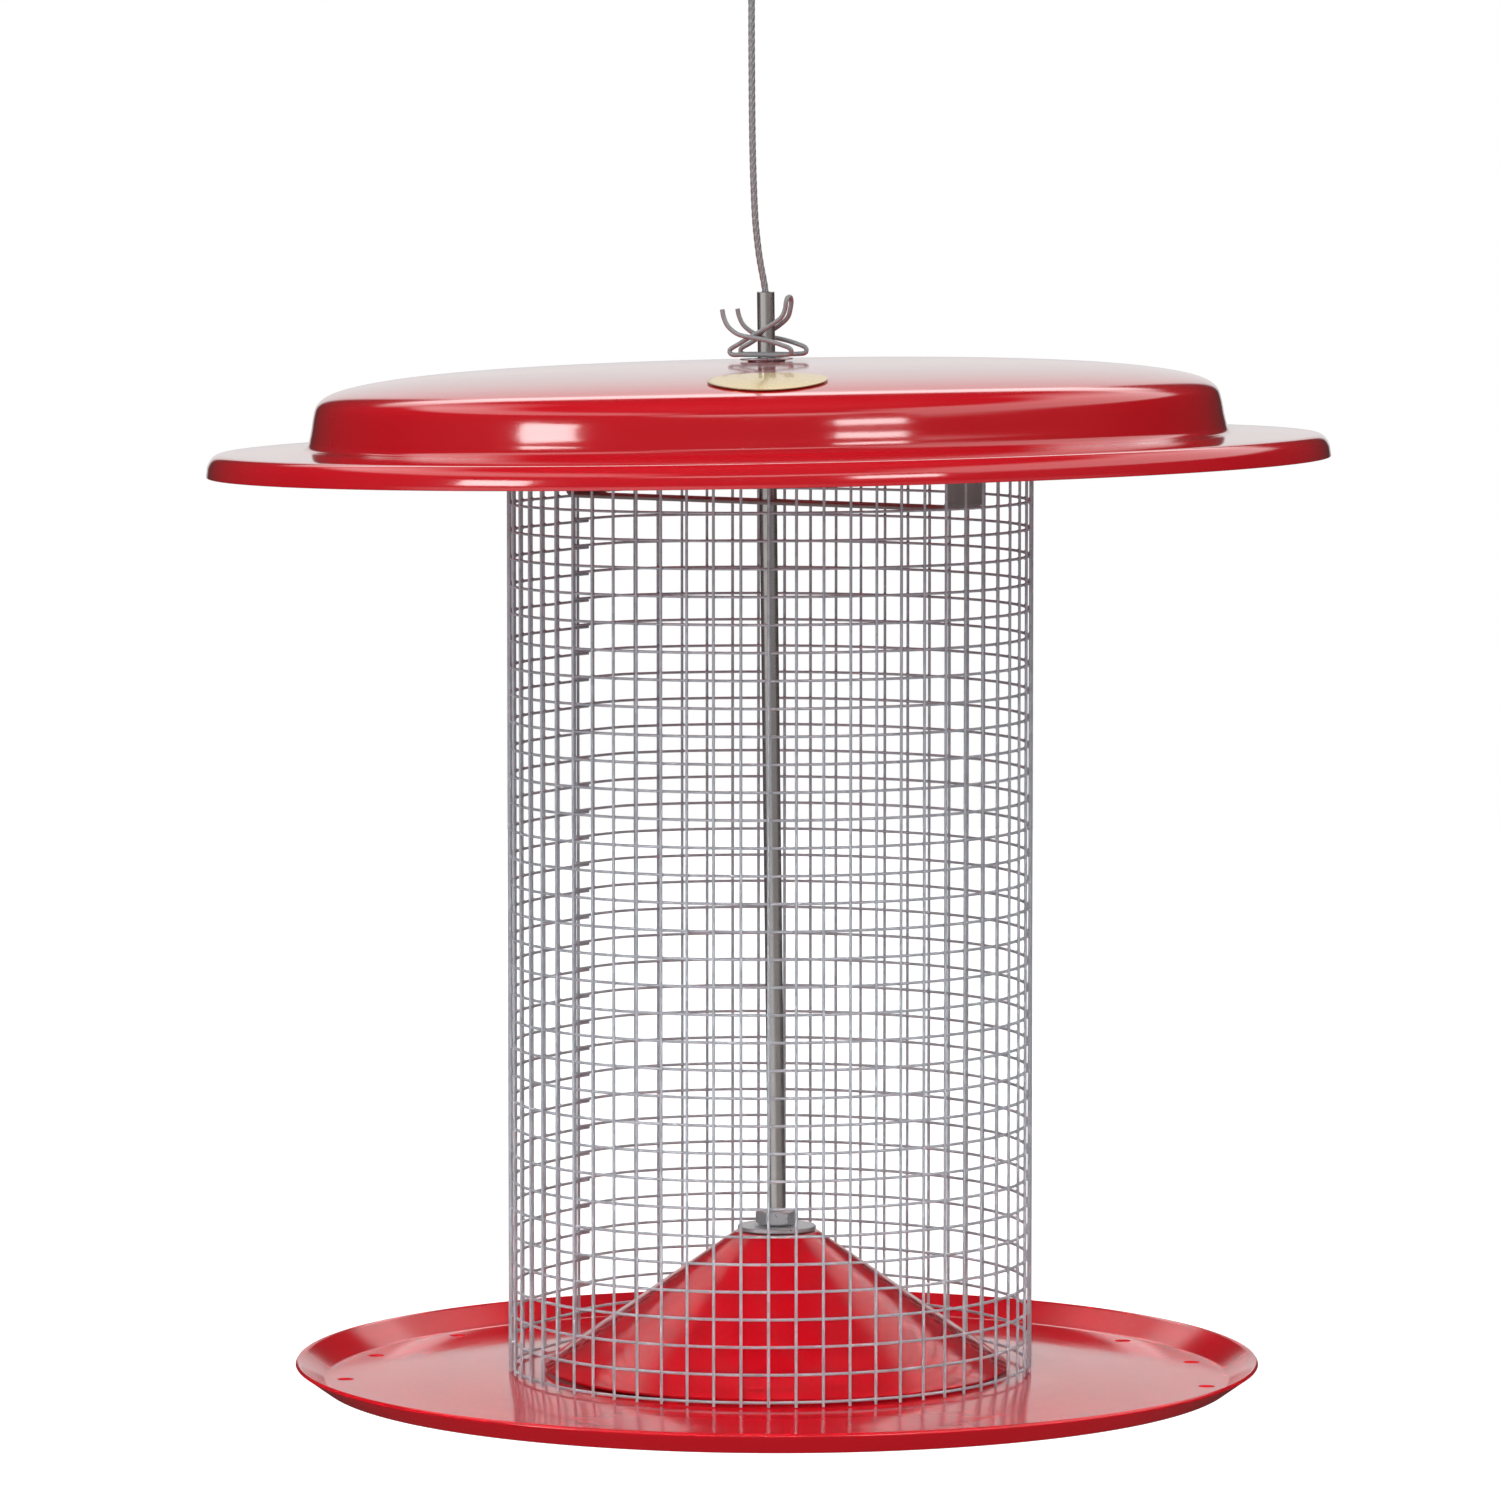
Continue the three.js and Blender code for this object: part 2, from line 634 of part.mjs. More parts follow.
// Spring clip: one wire. From a prong it crosses the stem, turns at the right, runs back over the
// eyelet, turns at the left, climbs across the first leg and ends in a closed paddle, and the
// second strand is its mirror image. Columns: share of the reach, share of the inner half width,
// share of the step out to the outer pass, share of the height.
const clipShares = [
  [-1, 1, 0.75, 0.79],
  [-0.96, 1, 0.78, 0.66],
  [-0.84, 1, 0.84, 0.5],
  [-0.56, 1, 0.95, 0.36],
  [-0.24, 1, 1, 0.31],
  [0.24, 1, 1, 0.25],
  [0.65, 1, 0.95, 0.17],
  [0.88, 1, 0.82, 0.1],
  [0.89, 1, 0.65, 0.025],
  [0.65, 1, 0.5, 0],
  [0, 1, 0.35, 0],
  [-0.54, 1, 0.15, 0],
  [-0.83, 1, 0.05, 0.012],
  [-0.87, 1, 0, 0.075],
  [-0.6, 1, 0, 0.19],
  [-0.26, 1, 0, 0.32],
  [0, 1, 0, 0.41],
  [0.28, 0.86, 0, 0.52],
  [0.52, 0.62, 0, 0.65],
  [0.6, 0.43, 0, 0.78],
  [0.635, 0.37, 0, 0.92],
  [0.645, 0.22, 0, 0.985],
  [0.65, 0, 0, 1],
];

const clipStepShare = 1.9;

function makeClip() {
  const inner = stemRadius + gap + clipWireDiameter / 2 + gap / 4;
  const step = clipWireDiameter + clipPassGap;
  const seat = domeHeight + gap + eyeletWall + gap + clipWireDiameter / 2 - domeHeight;
  const rise = clipHeight - clipWireDiameter / 2 - seat;
  const strand = clipShares.map(([along, innerShare, outerShare, up]) => new THREE.Vector3(
    along * clipReach,
    innerShare * inner + outerShare * step,
    seat + up * rise,
  ));
  const back = strand.slice(0, -1).reverse().map((p) => new THREE.Vector3(p.x, -p.y, p.z));
  const curve = new THREE.CatmullRomCurve3([...strand, ...back], false, "centripetal");
  const steps = Math.round(curve.getLength() / (clipStepShare * clipWireDiameter));
  const clip = onStem(apexHeight);
  const turn = new THREE.Group();
  turn.rotation.z = clipTurn;
  addMesh(turn, "spring_clip", wire(curve, clipWireDiameter, clipSides, steps), steel);
  clip.add(turn);
  feeder.add(clip);

  // Least gap of the wire to itself, measured on points further apart along it than three wires
  const count = 400;
  const points = curve.getSpacedPoints(count);
  const apart = Math.ceil(3 * clipWireDiameter / (curve.getLength() / count));
  let least = Infinity;
  for (let i = 0; i < points.length; i += 1) {
    for (let j = i + apart; j < points.length; j += 1) {
      least = Math.min(least, points[i].distanceTo(points[j]) - clipWireDiameter);
    }
  }
  console.log(`spring clip: least gap to itself ${least.toFixed(2)} mm`);
}

makeTray();
makeCone();
makeFasteners();
makeStem();
makeCable();
makeMesh();
makeCrossbar();
makeLid();
makeClip();

// The origin is where the loop hangs on its hook
feeder.position.set(-hangX, 0, -hangHeight);
const assembly = new THREE.Group();
assembly.add(feeder);

console.log(`stem axis ${stemAxis.toArray().map((n) => n.toFixed(5)).join(" ")}`);
console.log(`hang x ${hangX.toFixed(2)} height ${hangHeight.toFixed(2)}`);
console.log(`lid base ${lidBase.toFixed(2)} apex ${apexHeight.toFixed(2)} mesh top ${meshTop.toFixed(2)}`);

export default assembly;
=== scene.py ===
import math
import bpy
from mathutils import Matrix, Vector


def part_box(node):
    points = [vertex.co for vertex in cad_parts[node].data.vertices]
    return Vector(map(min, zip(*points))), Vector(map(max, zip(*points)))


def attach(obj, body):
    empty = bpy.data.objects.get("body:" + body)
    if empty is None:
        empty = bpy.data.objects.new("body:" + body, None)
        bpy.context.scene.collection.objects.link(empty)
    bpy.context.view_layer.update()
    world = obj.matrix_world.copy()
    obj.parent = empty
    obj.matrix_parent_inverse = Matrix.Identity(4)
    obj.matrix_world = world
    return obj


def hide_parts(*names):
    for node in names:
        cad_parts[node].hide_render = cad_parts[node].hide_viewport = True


bl_info = {
    "name": "Hanging Mesh Bird Feeder",
    "version": (1, 0, 0),
    "blender": (4, 5, 0),
    "location": "3D View > Sidebar > Feeder",
    "description": "Builds a hanging bird feeder of enamelled spun sheet and welded wire mesh",
    "category": "Add Mesh",
}

import bpy
from mathutils import Vector

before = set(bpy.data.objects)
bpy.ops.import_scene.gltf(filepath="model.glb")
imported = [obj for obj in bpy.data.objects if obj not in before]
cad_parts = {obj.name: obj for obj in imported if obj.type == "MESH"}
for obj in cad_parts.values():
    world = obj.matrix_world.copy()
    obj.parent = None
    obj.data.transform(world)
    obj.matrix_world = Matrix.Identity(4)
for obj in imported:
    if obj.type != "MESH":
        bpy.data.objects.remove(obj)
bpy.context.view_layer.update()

# The middle of the tray's underside, from which every height below is counted
TRAY_LOW, TRAY_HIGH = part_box("tray")
TRAY_MIDDLE = Vector(((TRAY_LOW.x + TRAY_HIGH.x) / 2, 0.0, TRAY_LOW.z))

# How far cut edges are broken: of tray and lid, of strap and tube, of cone and washers
SHEET_EDGE = 0.0002
DRAWN_EDGE = 0.00015
FINE_EDGE = 0.00012
# Room between the stem or the rope and what is threaded on it, and between such pieces along it
CLEARANCE = 0.0003
# Noise textures keep between these two almost everywhere
NOISE_LOW, NOISE_HIGH = 0.3, 0.7
# The photograph's camera, found from the spacing of the mesh's wires: a long lens, 4.25 degrees down
FOCAL_PIXELS, PHOTO_PIXELS, SENSOR_WIDTH = 7893.0, 1500.0, 36.0
CAMERA_PLACE = TRAY_MIDDLE + Vector((-0.00632, -1.846, 0.2863))
CAMERA_PITCH = math.radians(4.25)


def linear(code):
    """sRGB hex to the linear values that shaders use."""
    shares = [int(code[place : place + 2], 16) / 255 for place in (1, 3, 5)]
    return tuple(s / 12.92 if s <= 0.04045 else ((s + 0.055) / 1.055) ** 2.4 for s in shares)


def length(name, text, value):
    return bpy.props.FloatProperty(
        name=name, description=text, default=value, unit="LENGTH", precision=5
    )


def angle(name, text, degrees):
    return bpy.props.FloatProperty(
        name=name, description=text, default=math.radians(degrees), subtype="ANGLE"
    )


def count(name, text, value, least):
    return bpy.props.IntProperty(name=name, description=text, default=value, min=least)


def colour(name, text, code):
    return bpy.props.FloatVectorProperty(
        name=name, description=text, default=linear(code), subtype="COLOR", min=0.0, max=1.0
    )


class FeederSpunSizes(bpy.types.PropertyGroup):
    """Sizes of the spun tray, cone and lid."""

    sheet: length("Sheet", "Thickness of the spun sheet", 0.0009)
    gap: length("Gap", "Gap left between neighbouring pieces", 0.0003)
    tray_rim: length("Tray rim", "Diameter over the tray's rim", 0.2268)
    tray_floor: length("Tray floor", "Diameter of the tray's floor", 0.2124)
    tray_depth: length("Tray depth", "Height of the tray's rim", 0.0057)
    tray_rise: length("Tray rise", "How far the floor climbs from its edge to the mesh", 0.002)
    tray_seat: length("Tray seat", "Diameter of the level that the mesh stands on", 0.127)
    tray_bend: length("Tray bend", "Radius between the tray's floor and its rim", 0.002)
    drain_hole: length("Drain hole", "Diameter of a drain hole", 0.004)
    drain_ring: length("Drain ring", "Diameter of the ring of drain holes", 0.2032)
    drain_count: count("Drain holes", "Number of drain holes", 17, 2)
    drain_phase: angle("Drain phase", "Turn of the ring of holes", -7.5)
    centre_hole: length("Centre hole", "Diameter of the stem's hole in tray and cone", 0.0056)
    cone_top: length("Cone top", "Diameter of the cone's flat top", 0.0194)
    cone_height: length("Cone height", "Height of the cone's flat top", 0.0357)
    cone_base: length("Cone base", "Diameter of the cone's foot", 0.11)
    cone_bend: length("Cone bend", "Radius between the cone's top and its slope", 0.0012)
    lid_rim: length("Lid rim", "Diameter over the lid's lower edge", 0.2626)
    lid_edge: length("Lid edge", "Height of the lid's turned-down edge", 0.0053)
    lid_flare: length("Lid flare", "How far the edge flares", 0.0012)
    lid_bend: length("Lid bend", "Reach of the bends at the crown's foot and the lid's edge", 0.0024)
    crown_foot: length("Crown foot", "Diameter at the crown's foot", 0.2145)
    crown_foot_height: length("Crown foot height", "Height of the crown's foot", 0.0061)
    shoulder: length("Shoulder", "Diameter of the crown's shoulder", 0.2114)
    shoulder_height: length("Shoulder height", "Height of the shoulder", 0.015)
    dome: length("Dome", "Diameter of the dome's edge", 0.1968)
    dome_edge: length("Dome edge", "Height of the dome's edge", 0.0197)
    dome_top: length("Dome top", "Height of the dome's middle", 0.0244)
    lid_hole: length("Lid hole", "Diameter of the lid's hole", 0.0092)
    lid_base: length("Lid base", "Height of the lid's lower edge", 0.21587)
    lid_tilt: angle("Lid tilt", "Tilt of the lid", 1.12)
    label: length("Label", "Diameter of the round label", 0.027)
    label_offset: length("Label offset", "Distance of the label from the stem", 0.0835)
    label_thickness: length("Label thickness", "Thickness of the label", 0.0002)


class FeederWireSizes(bpy.types.PropertyGroup):
    """Sizes of the mesh, the stem, the clip and the wire rope."""

    mesh_across: length("Mesh", "Diameter over the mesh", 0.1232)
    mesh_shift: length("Mesh shift", "How far the mesh stands left of the tray's middle", 0.0016)
    pitch: length("Pitch", "Spacing of the mesh's wires", 0.00635)
    wire: length("Wire", "Diameter of a mesh wire", 0.0007)
    wires_around: count("Wires", "Upright wires around the mesh", 61, 12)
    rings: count("Rings", "Rings of wire", 37, 2)
    stub: length("Stub", "How far the uprights stand above the top ring", 0.00385)
    seam_rise: length("Seam rise", "How far the rings climb in one turn", 0.0014)
    seam_turn: angle("Seam", "Place of the seam", 139.7)
    stem: length("Stem", "Diameter of the stem tube", 0.0041)
    stem_bore: length("Stem bore", "Bore of the stem tube", 0.0022)
    stem_top: length("Stem top", "Height of the stem's top", 0.25644)
    stem_tail: length("Stem tail", "Length of stem below the tray", 0.006)
    stem_lean: angle("Stem lean", "Lean of the stem", 0.7)
    lean_height: length("Lean height", "Height at which the stem is in the middle", 0.0389)
    nut_flats: length("Nut", "Width of a nut across its flats", 0.00873)
    nut_height: length("Nut height", "Height of a nut", 0.0032)
    cone_washer: length("Cone washer", "Diameter of the washer on the cone", 0.0184)
    tray_washer: length("Tray washer", "Diameter of the washer under the tray", 0.0127)
    washer: length("Washer", "Thickness of a washer", 0.001)
    bar_width: length("Bar width", "Width of the crossbar", 0.0127)
    bar_thickness: length("Bar thickness", "Thickness of the crossbar", 0.0008)
    bar_height: length("Bar height", "Height of the crossbar's underside", 0.20698)
    bar_tab: length("Bar tab", "Height of the crossbar's bent ends", 0.016)
    bar_reach: length("Bar reach", "Half the crossbar's length", 0.05923)
    bar_hole: length("Bar hole", "Diameter of the crossbar's hole", 0.006)
    bar_bend: length("Bar bend", "Radius of the crossbar's bends", 0.0016)
    bar_turn: angle("Bar turn", "Turn of the crossbar", -41.2)
    eyelet_bore: length("Eyelet bore", "Bore of the lid's eyelet", 0.0078)
    eyelet_flange: length("Eyelet flange", "Diameter of the eyelet's flanges", 0.0124)
    eyelet_wall: length("Eyelet wall", "Thickness of the eyelet", 0.0004)
    clip_wire: length("Clip wire", "Diameter of the clip's wire", 0.0011)
    clip_reach: length("Clip reach", "How far the clip reaches to each side", 0.0093)
    clip_height: length("Clip height", "Height of the clip above the dome", 0.0155)
    clip_turn: angle("Clip turn", "Turn of the clip", -25)
    clip_room: length("Clip room", "Room between the clip's inner and outer passes", 0.00055)
    rope: length("Rope", "Diameter of the wire rope", 0.0016)
    rope_lay: length("Rope lay", "Length of one turn of the rope's strands", 0.011)
    sleeve_width: length("Sleeve width", "Width of the crimped sleeve", 0.0056)
    sleeve_thickness: length("Sleeve thickness", "Thickness of the crimped sleeve", 0.0034)
    sleeve_length: length("Sleeve length", "Length of the crimped sleeve", 0.0095)
    loop_height: length("Loop height", "Height of the hanging loop", 0.0297)
    loop_width: length("Loop width", "Width of the hanging loop", 0.017)
    stop: length("Stop", "Diameter of the crimped stop", 0.004)
    stop_length: length("Stop length", "Length of the crimped stop", 0.005)


class FeederFinishes(bpy.types.PropertyGroup):
    """Colours of the feeder's finishes."""

    enamel: colour("Enamel", "Red baked enamel", "#D21020")
    enamel_deep: colour("Enamel deep", "Where the enamel lies thicker", "#C70C1C")
    galvanised: colour("Galvanised", "Hot-dip galvanised wire", "#A9AEB5")
    galvanised_light: colour("Galvanised light", "Lighter zinc crystals", "#C0C5CD")
    zinc: colour("Zinc", "Bright zinc plate", "#C3C5C8")
    tube: colour("Tube", "Drawn steel tube", "#BDBBB8")
    spring: colour("Spring", "Spring wire", "#A6A8AA")
    rope: colour("Rope", "Galvanised rope strands", "#A6A8AA")
    strap: colour("Strap", "Mill-finish strap", "#9C9896")
    sleeve: colour("Sleeve", "Pressed aluminium", "#B9BABC")
    foil: colour("Foil", "Pale gold foil", "#E9CC84")
    foil_rim: colour("Foil rim", "Edge of the gold foil", "#C2A874")
    floor: colour("Floor", "Studio floor", "#EDEDED")


# Small steps that every piece is modelled with


def deselect():
    if bpy.context.object and bpy.context.object.mode != "OBJECT":
        bpy.ops.object.mode_set(mode="OBJECT")
    bpy.ops.object.select_all(action="DESELECT")


def choose(piece):
    deselect()
    piece.select_set(True)
    bpy.context.view_layer.objects.active = piece


def settle(piece, location=(0, 0, 0), turn=(0, 0, 0)):
    """Puts a piece in its place and moves that place into its mesh."""
    choose(piece)
    piece.rotation_euler = turn
    piece.location = location
    bpy.ops.object.transform_apply(location=True, rotation=True, scale=True)
    return piece


def at_height(x, height):
    return TRAY_MIDDLE + Vector((x, 0.0, height))


def modifier(piece, kind, **settings):
    """Adds a modifier, sets it and applies it."""
    choose(piece)
    added = piece.modifiers.new(kind.title(), kind)
    for key, value in settings.items():
        setattr(added, key, value)
    bpy.ops.object.modifier_apply(modifier=added.name)


def smooth(piece, degrees=35):
    choose(piece)
    bpy.ops.object.shade_smooth_by_angle(angle=math.radians(degrees))


def fresh_piece(name):
    """Names the piece that was just added and moves its place into its mesh."""
    piece = bpy.context.object
    piece.name = name
    bpy.ops.object.transform_apply(location=True, rotation=True, scale=True)
    return piece


def rod(name, vertices, radius, depth, location, turn=0.0):
    deselect()
    bpy.ops.mesh.primitive_cylinder_add(
        vertices=vertices, radius=radius, depth=depth, location=location, rotation=(0, 0, turn)
    )
    return fresh_piece(name)


def edit_all():
    """Opens the chosen piece for editing, with all of it selected."""
    bpy.ops.object.mode_set(mode="EDIT")
    bpy.ops.mesh.select_all(action="SELECT")


def edit_where(piece, wanted):
    """Opens a piece for editing, with only the vertices selected whose places are wanted."""
    choose(piece)
    bpy.ops.object.mode_set(mode="EDIT")
    bpy.ops.mesh.select_all(action="DESELECT")
    edit_done()
    for vertex in piece.data.vertices:
        vertex.select = wanted(vertex.co)
    bpy.ops.object.mode_set(mode="EDIT")


def edit_done():
    bpy.ops.object.mode_set(mode="OBJECT")


def widen(share):
    """Scales what is selected about the upright axis."""
    bpy.ops.transform.resize(value=(share, share, 1), center_override=(0, 0, 0))


def draw_out(*step):
    """Extrudes what is selected by a step."""
    bpy.ops.mesh.extrude_region_move(TRANSFORM_OT_translate={"value": step})


def close_seams(piece):
    """Merges doubles and turns the faces of a closed piece outwards."""
    choose(piece)
    edit_all()
    bpy.ops.mesh.remove_doubles(threshold=1e-6)
    bpy.ops.mesh.normals_make_consistent(inside=False)
    edit_done()


def turned_skin(name, outline, facets):
    """Extrudes a ring of edges from one radius and height to the next."""
    deselect()
    radius, height = outline[0]
    bpy.ops.mesh.primitive_circle_add(
        vertices=facets, radius=radius, fill_type="NOTHING", location=(0, 0, height)
    )
    piece = fresh_piece(name)
    edit_all()
    for wider, higher in outline[1:]:
        draw_out(0, 0, higher - height)
        widen(wider / radius)
        radius, height = wider, higher
    edit_done()
    return piece


def turned_solid(name, outline, facets, degrees=40):
    """A ring whose section is a closed outline, smooth where it bends less than some degrees."""
    piece = turned_skin(name, [*outline, outline[0]], facets)
    close_seams(piece)
    smooth(piece, degrees)
    return piece


def ring_section(bore, outer, low, high, edge):
    """A ring's section with broken corners, from the foot of its bore round by the outside."""
    foot = [(bore, low + edge), (bore + edge, low), (outer - edge, low), (outer, low + edge)]
    head = [(outer, high - edge), (outer - edge, high), (bore + edge, high), (bore, high - edge)]
    return foot + head


def copy_round(pieces):
    """Copies the chosen mesh round the upright axis, so many in all."""
    edit_all()
    bpy.ops.mesh.spin(
        steps=pieces - 1,
        dupli=True,
        angle=2 * math.pi * (pieces - 1) / pieces,
        center=(0, 0, 0),
        axis=(0, 0, 1),
    )
    edit_done()


def copy_up(piece, pieces, step):
    """Copies a piece upwards, so many in all."""
    modifier(
        piece,
        "ARRAY",
        count=pieces,
        use_relative_offset=False,
        use_constant_offset=True,
        constant_offset_displace=(0, 0, step),
    )


def face_up(piece):
    """Turns an open skin's faces so that the level ones look up."""
    choose(piece)
    if sum(face.normal.z * face.area for face in piece.data.polygons) < 0:
        edit_all()
        bpy.ops.mesh.flip_normals()
        edit_done()


def break_edges(piece, width, degrees, segments=2):
    modifier(
        piece,
        "BEVEL",
        width=width,
        segments=segments,
        limit_method="ANGLE",
        angle_limit=math.radians(degrees),
        harden_normals=False,
    )


def sheet_metal(piece, thickness, edge, degrees=50):
    """Gives an upward-facing skin its thickness below, and breaks its cut edges."""
    face_up(piece)
    modifier(piece, "SOLIDIFY", thickness=thickness, offset=-1.0, use_even_offset=True)
    break_edges(piece, edge, degrees)


def cut(piece, tool, operation="DIFFERENCE"):
    modifier(piece, "BOOLEAN", operation=operation, object=tool, solver="EXACT")
    bpy.data.objects.remove(tool)


def arc(middle, radius, start, end, steps):
    """Points of an arc in the plane of radius and height, angles in degrees."""
    points = []
    for step in range(steps + 1):
        angle = math.radians(start + (end - start) * step / steps)
        points.append((middle[0] + radius * math.cos(angle), middle[1] + radius * math.sin(angle)))
    return points


def quadratic(start, pull, end, steps):
    """Points of a bend from start to end that is pulled towards a corner."""
    points = []
    for step in range(steps + 1):
        t = step / steps
        weights = ((1 - t) ** 2, 2 * t * (1 - t), t * t)
        points.append(tuple(sum(w * v for w, v in zip(weights, row)) for row in zip(start, pull, end)))
    return points


def between(first, second, start, end, t):
    """The place at t on the straight line from first, at start, to second, at end."""
    return first * ((end - t) / (end - start)) + second * ((t - start) / (end - start))


def through(points, steps):
    """A centripetal Catmull-Rom line through points, steps to a stretch."""
    ends = [2 * points[0] - points[1], *points, 2 * points[-1] - points[-2]]
    line = []
    for p0, p1, p2, p3 in zip(ends, ends[1:], ends[2:], ends[3:]):
        t1 = (p1 - p0).length ** 0.5
        t2 = t1 + (p2 - p1).length ** 0.5
        t3 = t2 + (p3 - p2).length ** 0.5
        for step in range(steps):
            t = t1 + (t2 - t1) * step / steps
            middle = between(p1, p2, t1, t2, t)
            before = between(between(p0, p1, 0.0, t1, t), middle, 0.0, t2, t)
            after = between(middle, between(p2, p3, t2, t3, t), t1, t3, t)
            line.append(between(before, after, t1, t2, t))
    line.append(points[-1])
    return line


def evenly(line, count):
    """The line again, with count equal steps."""
    runs = [0.0]
    for a, b in zip(line, line[1:]):
        runs.append(runs[-1] + (b - a).length)
    points, place = [], 0
    for step in range(count + 1):
        goal = runs[-1] * step / count
        while place < len(line) - 2 and runs[place + 1] < goal:
            place += 1
        share = (goal - runs[place]) / max(runs[place + 1] - runs[place], 1e-12)
        points.append(line[place].lerp(line[place + 1], share))
    return points, runs[-1]


def drawn_wire(name, line, diameter, sides=3, closed=False):
    """A round wire along a line, as a closed mesh."""
    deselect()
    curve = bpy.data.curves.new(name, "CURVE")
    curve.dimensions = "3D"
    curve.bevel_depth = diameter / 2
    curve.bevel_resolution = sides
    curve.use_fill_caps = True
    spline = curve.splines.new("POLY")
    spline.points.add(len(line) - 1)
    for point, place in zip(spline.points, line):
        point.co = (*place, 1.0)
    spline.use_cyclic_u = closed
    piece = bpy.data.objects.new(name, curve)
    bpy.context.scene.collection.objects.link(piece)
    choose(piece)
    bpy.ops.object.convert(target="MESH")
    piece = bpy.context.object
    piece.name = name
    close_seams(piece)
    return piece


def laid_rope(name, line, diameter, lay, strands=6):
    """A stranded rope: a lobed section turned once in each lay along the line."""
    strand = diameter / 3
    section = []
    # Five points on each strand's outer side
    for lobe in range(strands):
        middle = 2 * math.pi * lobe / strands
        for degrees in (-62, -31, 0, 31, 62):
            angle = middle + math.radians(degrees)
            x = strand * math.cos(middle) + strand / 2 * math.cos(angle)
            y = strand * math.sin(middle) + strand / 2 * math.sin(angle)
            section.append(Vector((x, y)))
    reach = max(point.length for point in section)
    section = [point * (diameter / 2 / reach) for point in section]
    count = len(section)
    vertices, faces = [], []
    along = (line[1] - line[0]).normalized()
    side = along.orthogonal().normalized()
    run = 0.0
    for place, point in enumerate(line):
        before, after = line[max(place - 1, 0)], line[min(place + 1, len(line) - 1)]
        along = (after - before).normalized()
        side = (side - along * side.dot(along)).normalized()
        across = along.cross(side)
        if place:
            run += (point - line[place - 1]).length
        turn = 2 * math.pi * run / lay
        for x, y in section:
            u = x * math.cos(turn) - y * math.sin(turn)
            v = x * math.sin(turn) + y * math.cos(turn)
            vertices.append(point + side * u + across * v)
        if place:
            low = (place - 1) * count
            for k in range(count):
                n = (k + 1) % count
                faces.append((low + k, low + n, low + count + n, low + count + k))
    faces.append(tuple(reversed(range(count))))
    faces.append(tuple(range(len(vertices) - count, len(vertices))))
    mesh = bpy.data.meshes.new(name)
    mesh.from_pydata(vertices, [], faces)
    piece = bpy.data.objects.new(name, mesh)
    bpy.context.scene.collection.objects.link(piece)
    close_seams(piece)
    smooth(piece, 60)
    return piece


# Materials


def wire_up(tree, node, links=None, values=None):
    """Sets a node's values and links sockets to it."""
    for key, value in (values or {}).items():
        node.inputs[key].default_value = value
    for key, socket in (links or {}).items():
        tree.links.new(socket, node.inputs[key])


def add_node(tree, kind, links=None, values=None, **settings):
    """Adds a node with its settings, values and links."""
    node = tree.nodes.new(kind)
    for key, value in settings.items():
        setattr(node, key, value)
    wire_up(tree, node, links, values)
    return node


def maths(tree, operation, *terms):
    """Works a value out from sockets and plain numbers."""
    node = add_node(tree, "ShaderNodeMath", operation=operation)
    for place, term in enumerate(terms):
        if isinstance(term, float):
            node.inputs[place].default_value = term
        else:
            tree.links.new(term, node.inputs[place])
    return node.outputs["Value"]


def blank_material(name):
    """A material with only its output and its shader."""
    material = bpy.data.materials.new(name)
    material.use_nodes = True
    tree = material.node_tree
    tree.nodes.clear()
    output = add_node(tree, "ShaderNodeOutputMaterial")
    shader = add_node(tree, "ShaderNodeBsdfPrincipled")
    tree.links.new(shader.outputs["BSDF"], output.inputs["Surface"])
    return material, tree, shader


def place_of(tree, middle=(0, 0, 0), turn=(0, 0, 0)):
    """Object coordinates counted from a piece's own middle."""
    coordinates = add_node(tree, "ShaderNodeTexCoord")
    mapping = add_node(
        tree,
        "ShaderNodeMapping",
        {"Vector": coordinates.outputs["Object"]},
        {"Location": middle, "Rotation": turn},
        vector_type="TEXTURE",
    )
    return mapping.outputs["Vector"]


def two_tone(tree, factor, first, second):
    """A colour between two, by a factor."""
    mix = add_node(tree, "ShaderNodeMix", {"Factor": factor}, data_type="RGBA")
    colours = [socket for socket in mix.inputs if socket.type == "RGBA"]
    colours[0].default_value = (*first, 1)
    colours[1].default_value = (*second, 1)
    return next(socket for socket in mix.outputs if socket.type == "RGBA")


def spread(tree, value, low, high, to_low, to_high):
    changed = add_node(
        tree,
        "ShaderNodeMapRange",
        {"Value": value},
        {"From Min": low, "From Max": high, "To Min": to_low, "To Max": to_high},
    )
    return changed.outputs["Result"]


def noise(tree, place, scale, detail):
    node = add_node(tree, "ShaderNodeTexNoise", {"Vector": place}, {"Scale": scale, "Detail": detail})
    return node.outputs["Fac"]


def uneven(tree, marks, low, high):
    """A roughness that noise moves from one value to another."""
    return spread(tree, marks, NOISE_LOW, NOISE_HIGH, low, high)


def bumped(tree, height, strength, distance, **under):
    """The normal of a skin with a height on it, over another normal where one is given."""
    node = add_node(
        tree, "ShaderNodeBump", {"Height": height, **under}, {"Strength": strength, "Distance": distance}
    )
    return node.outputs["Normal"]


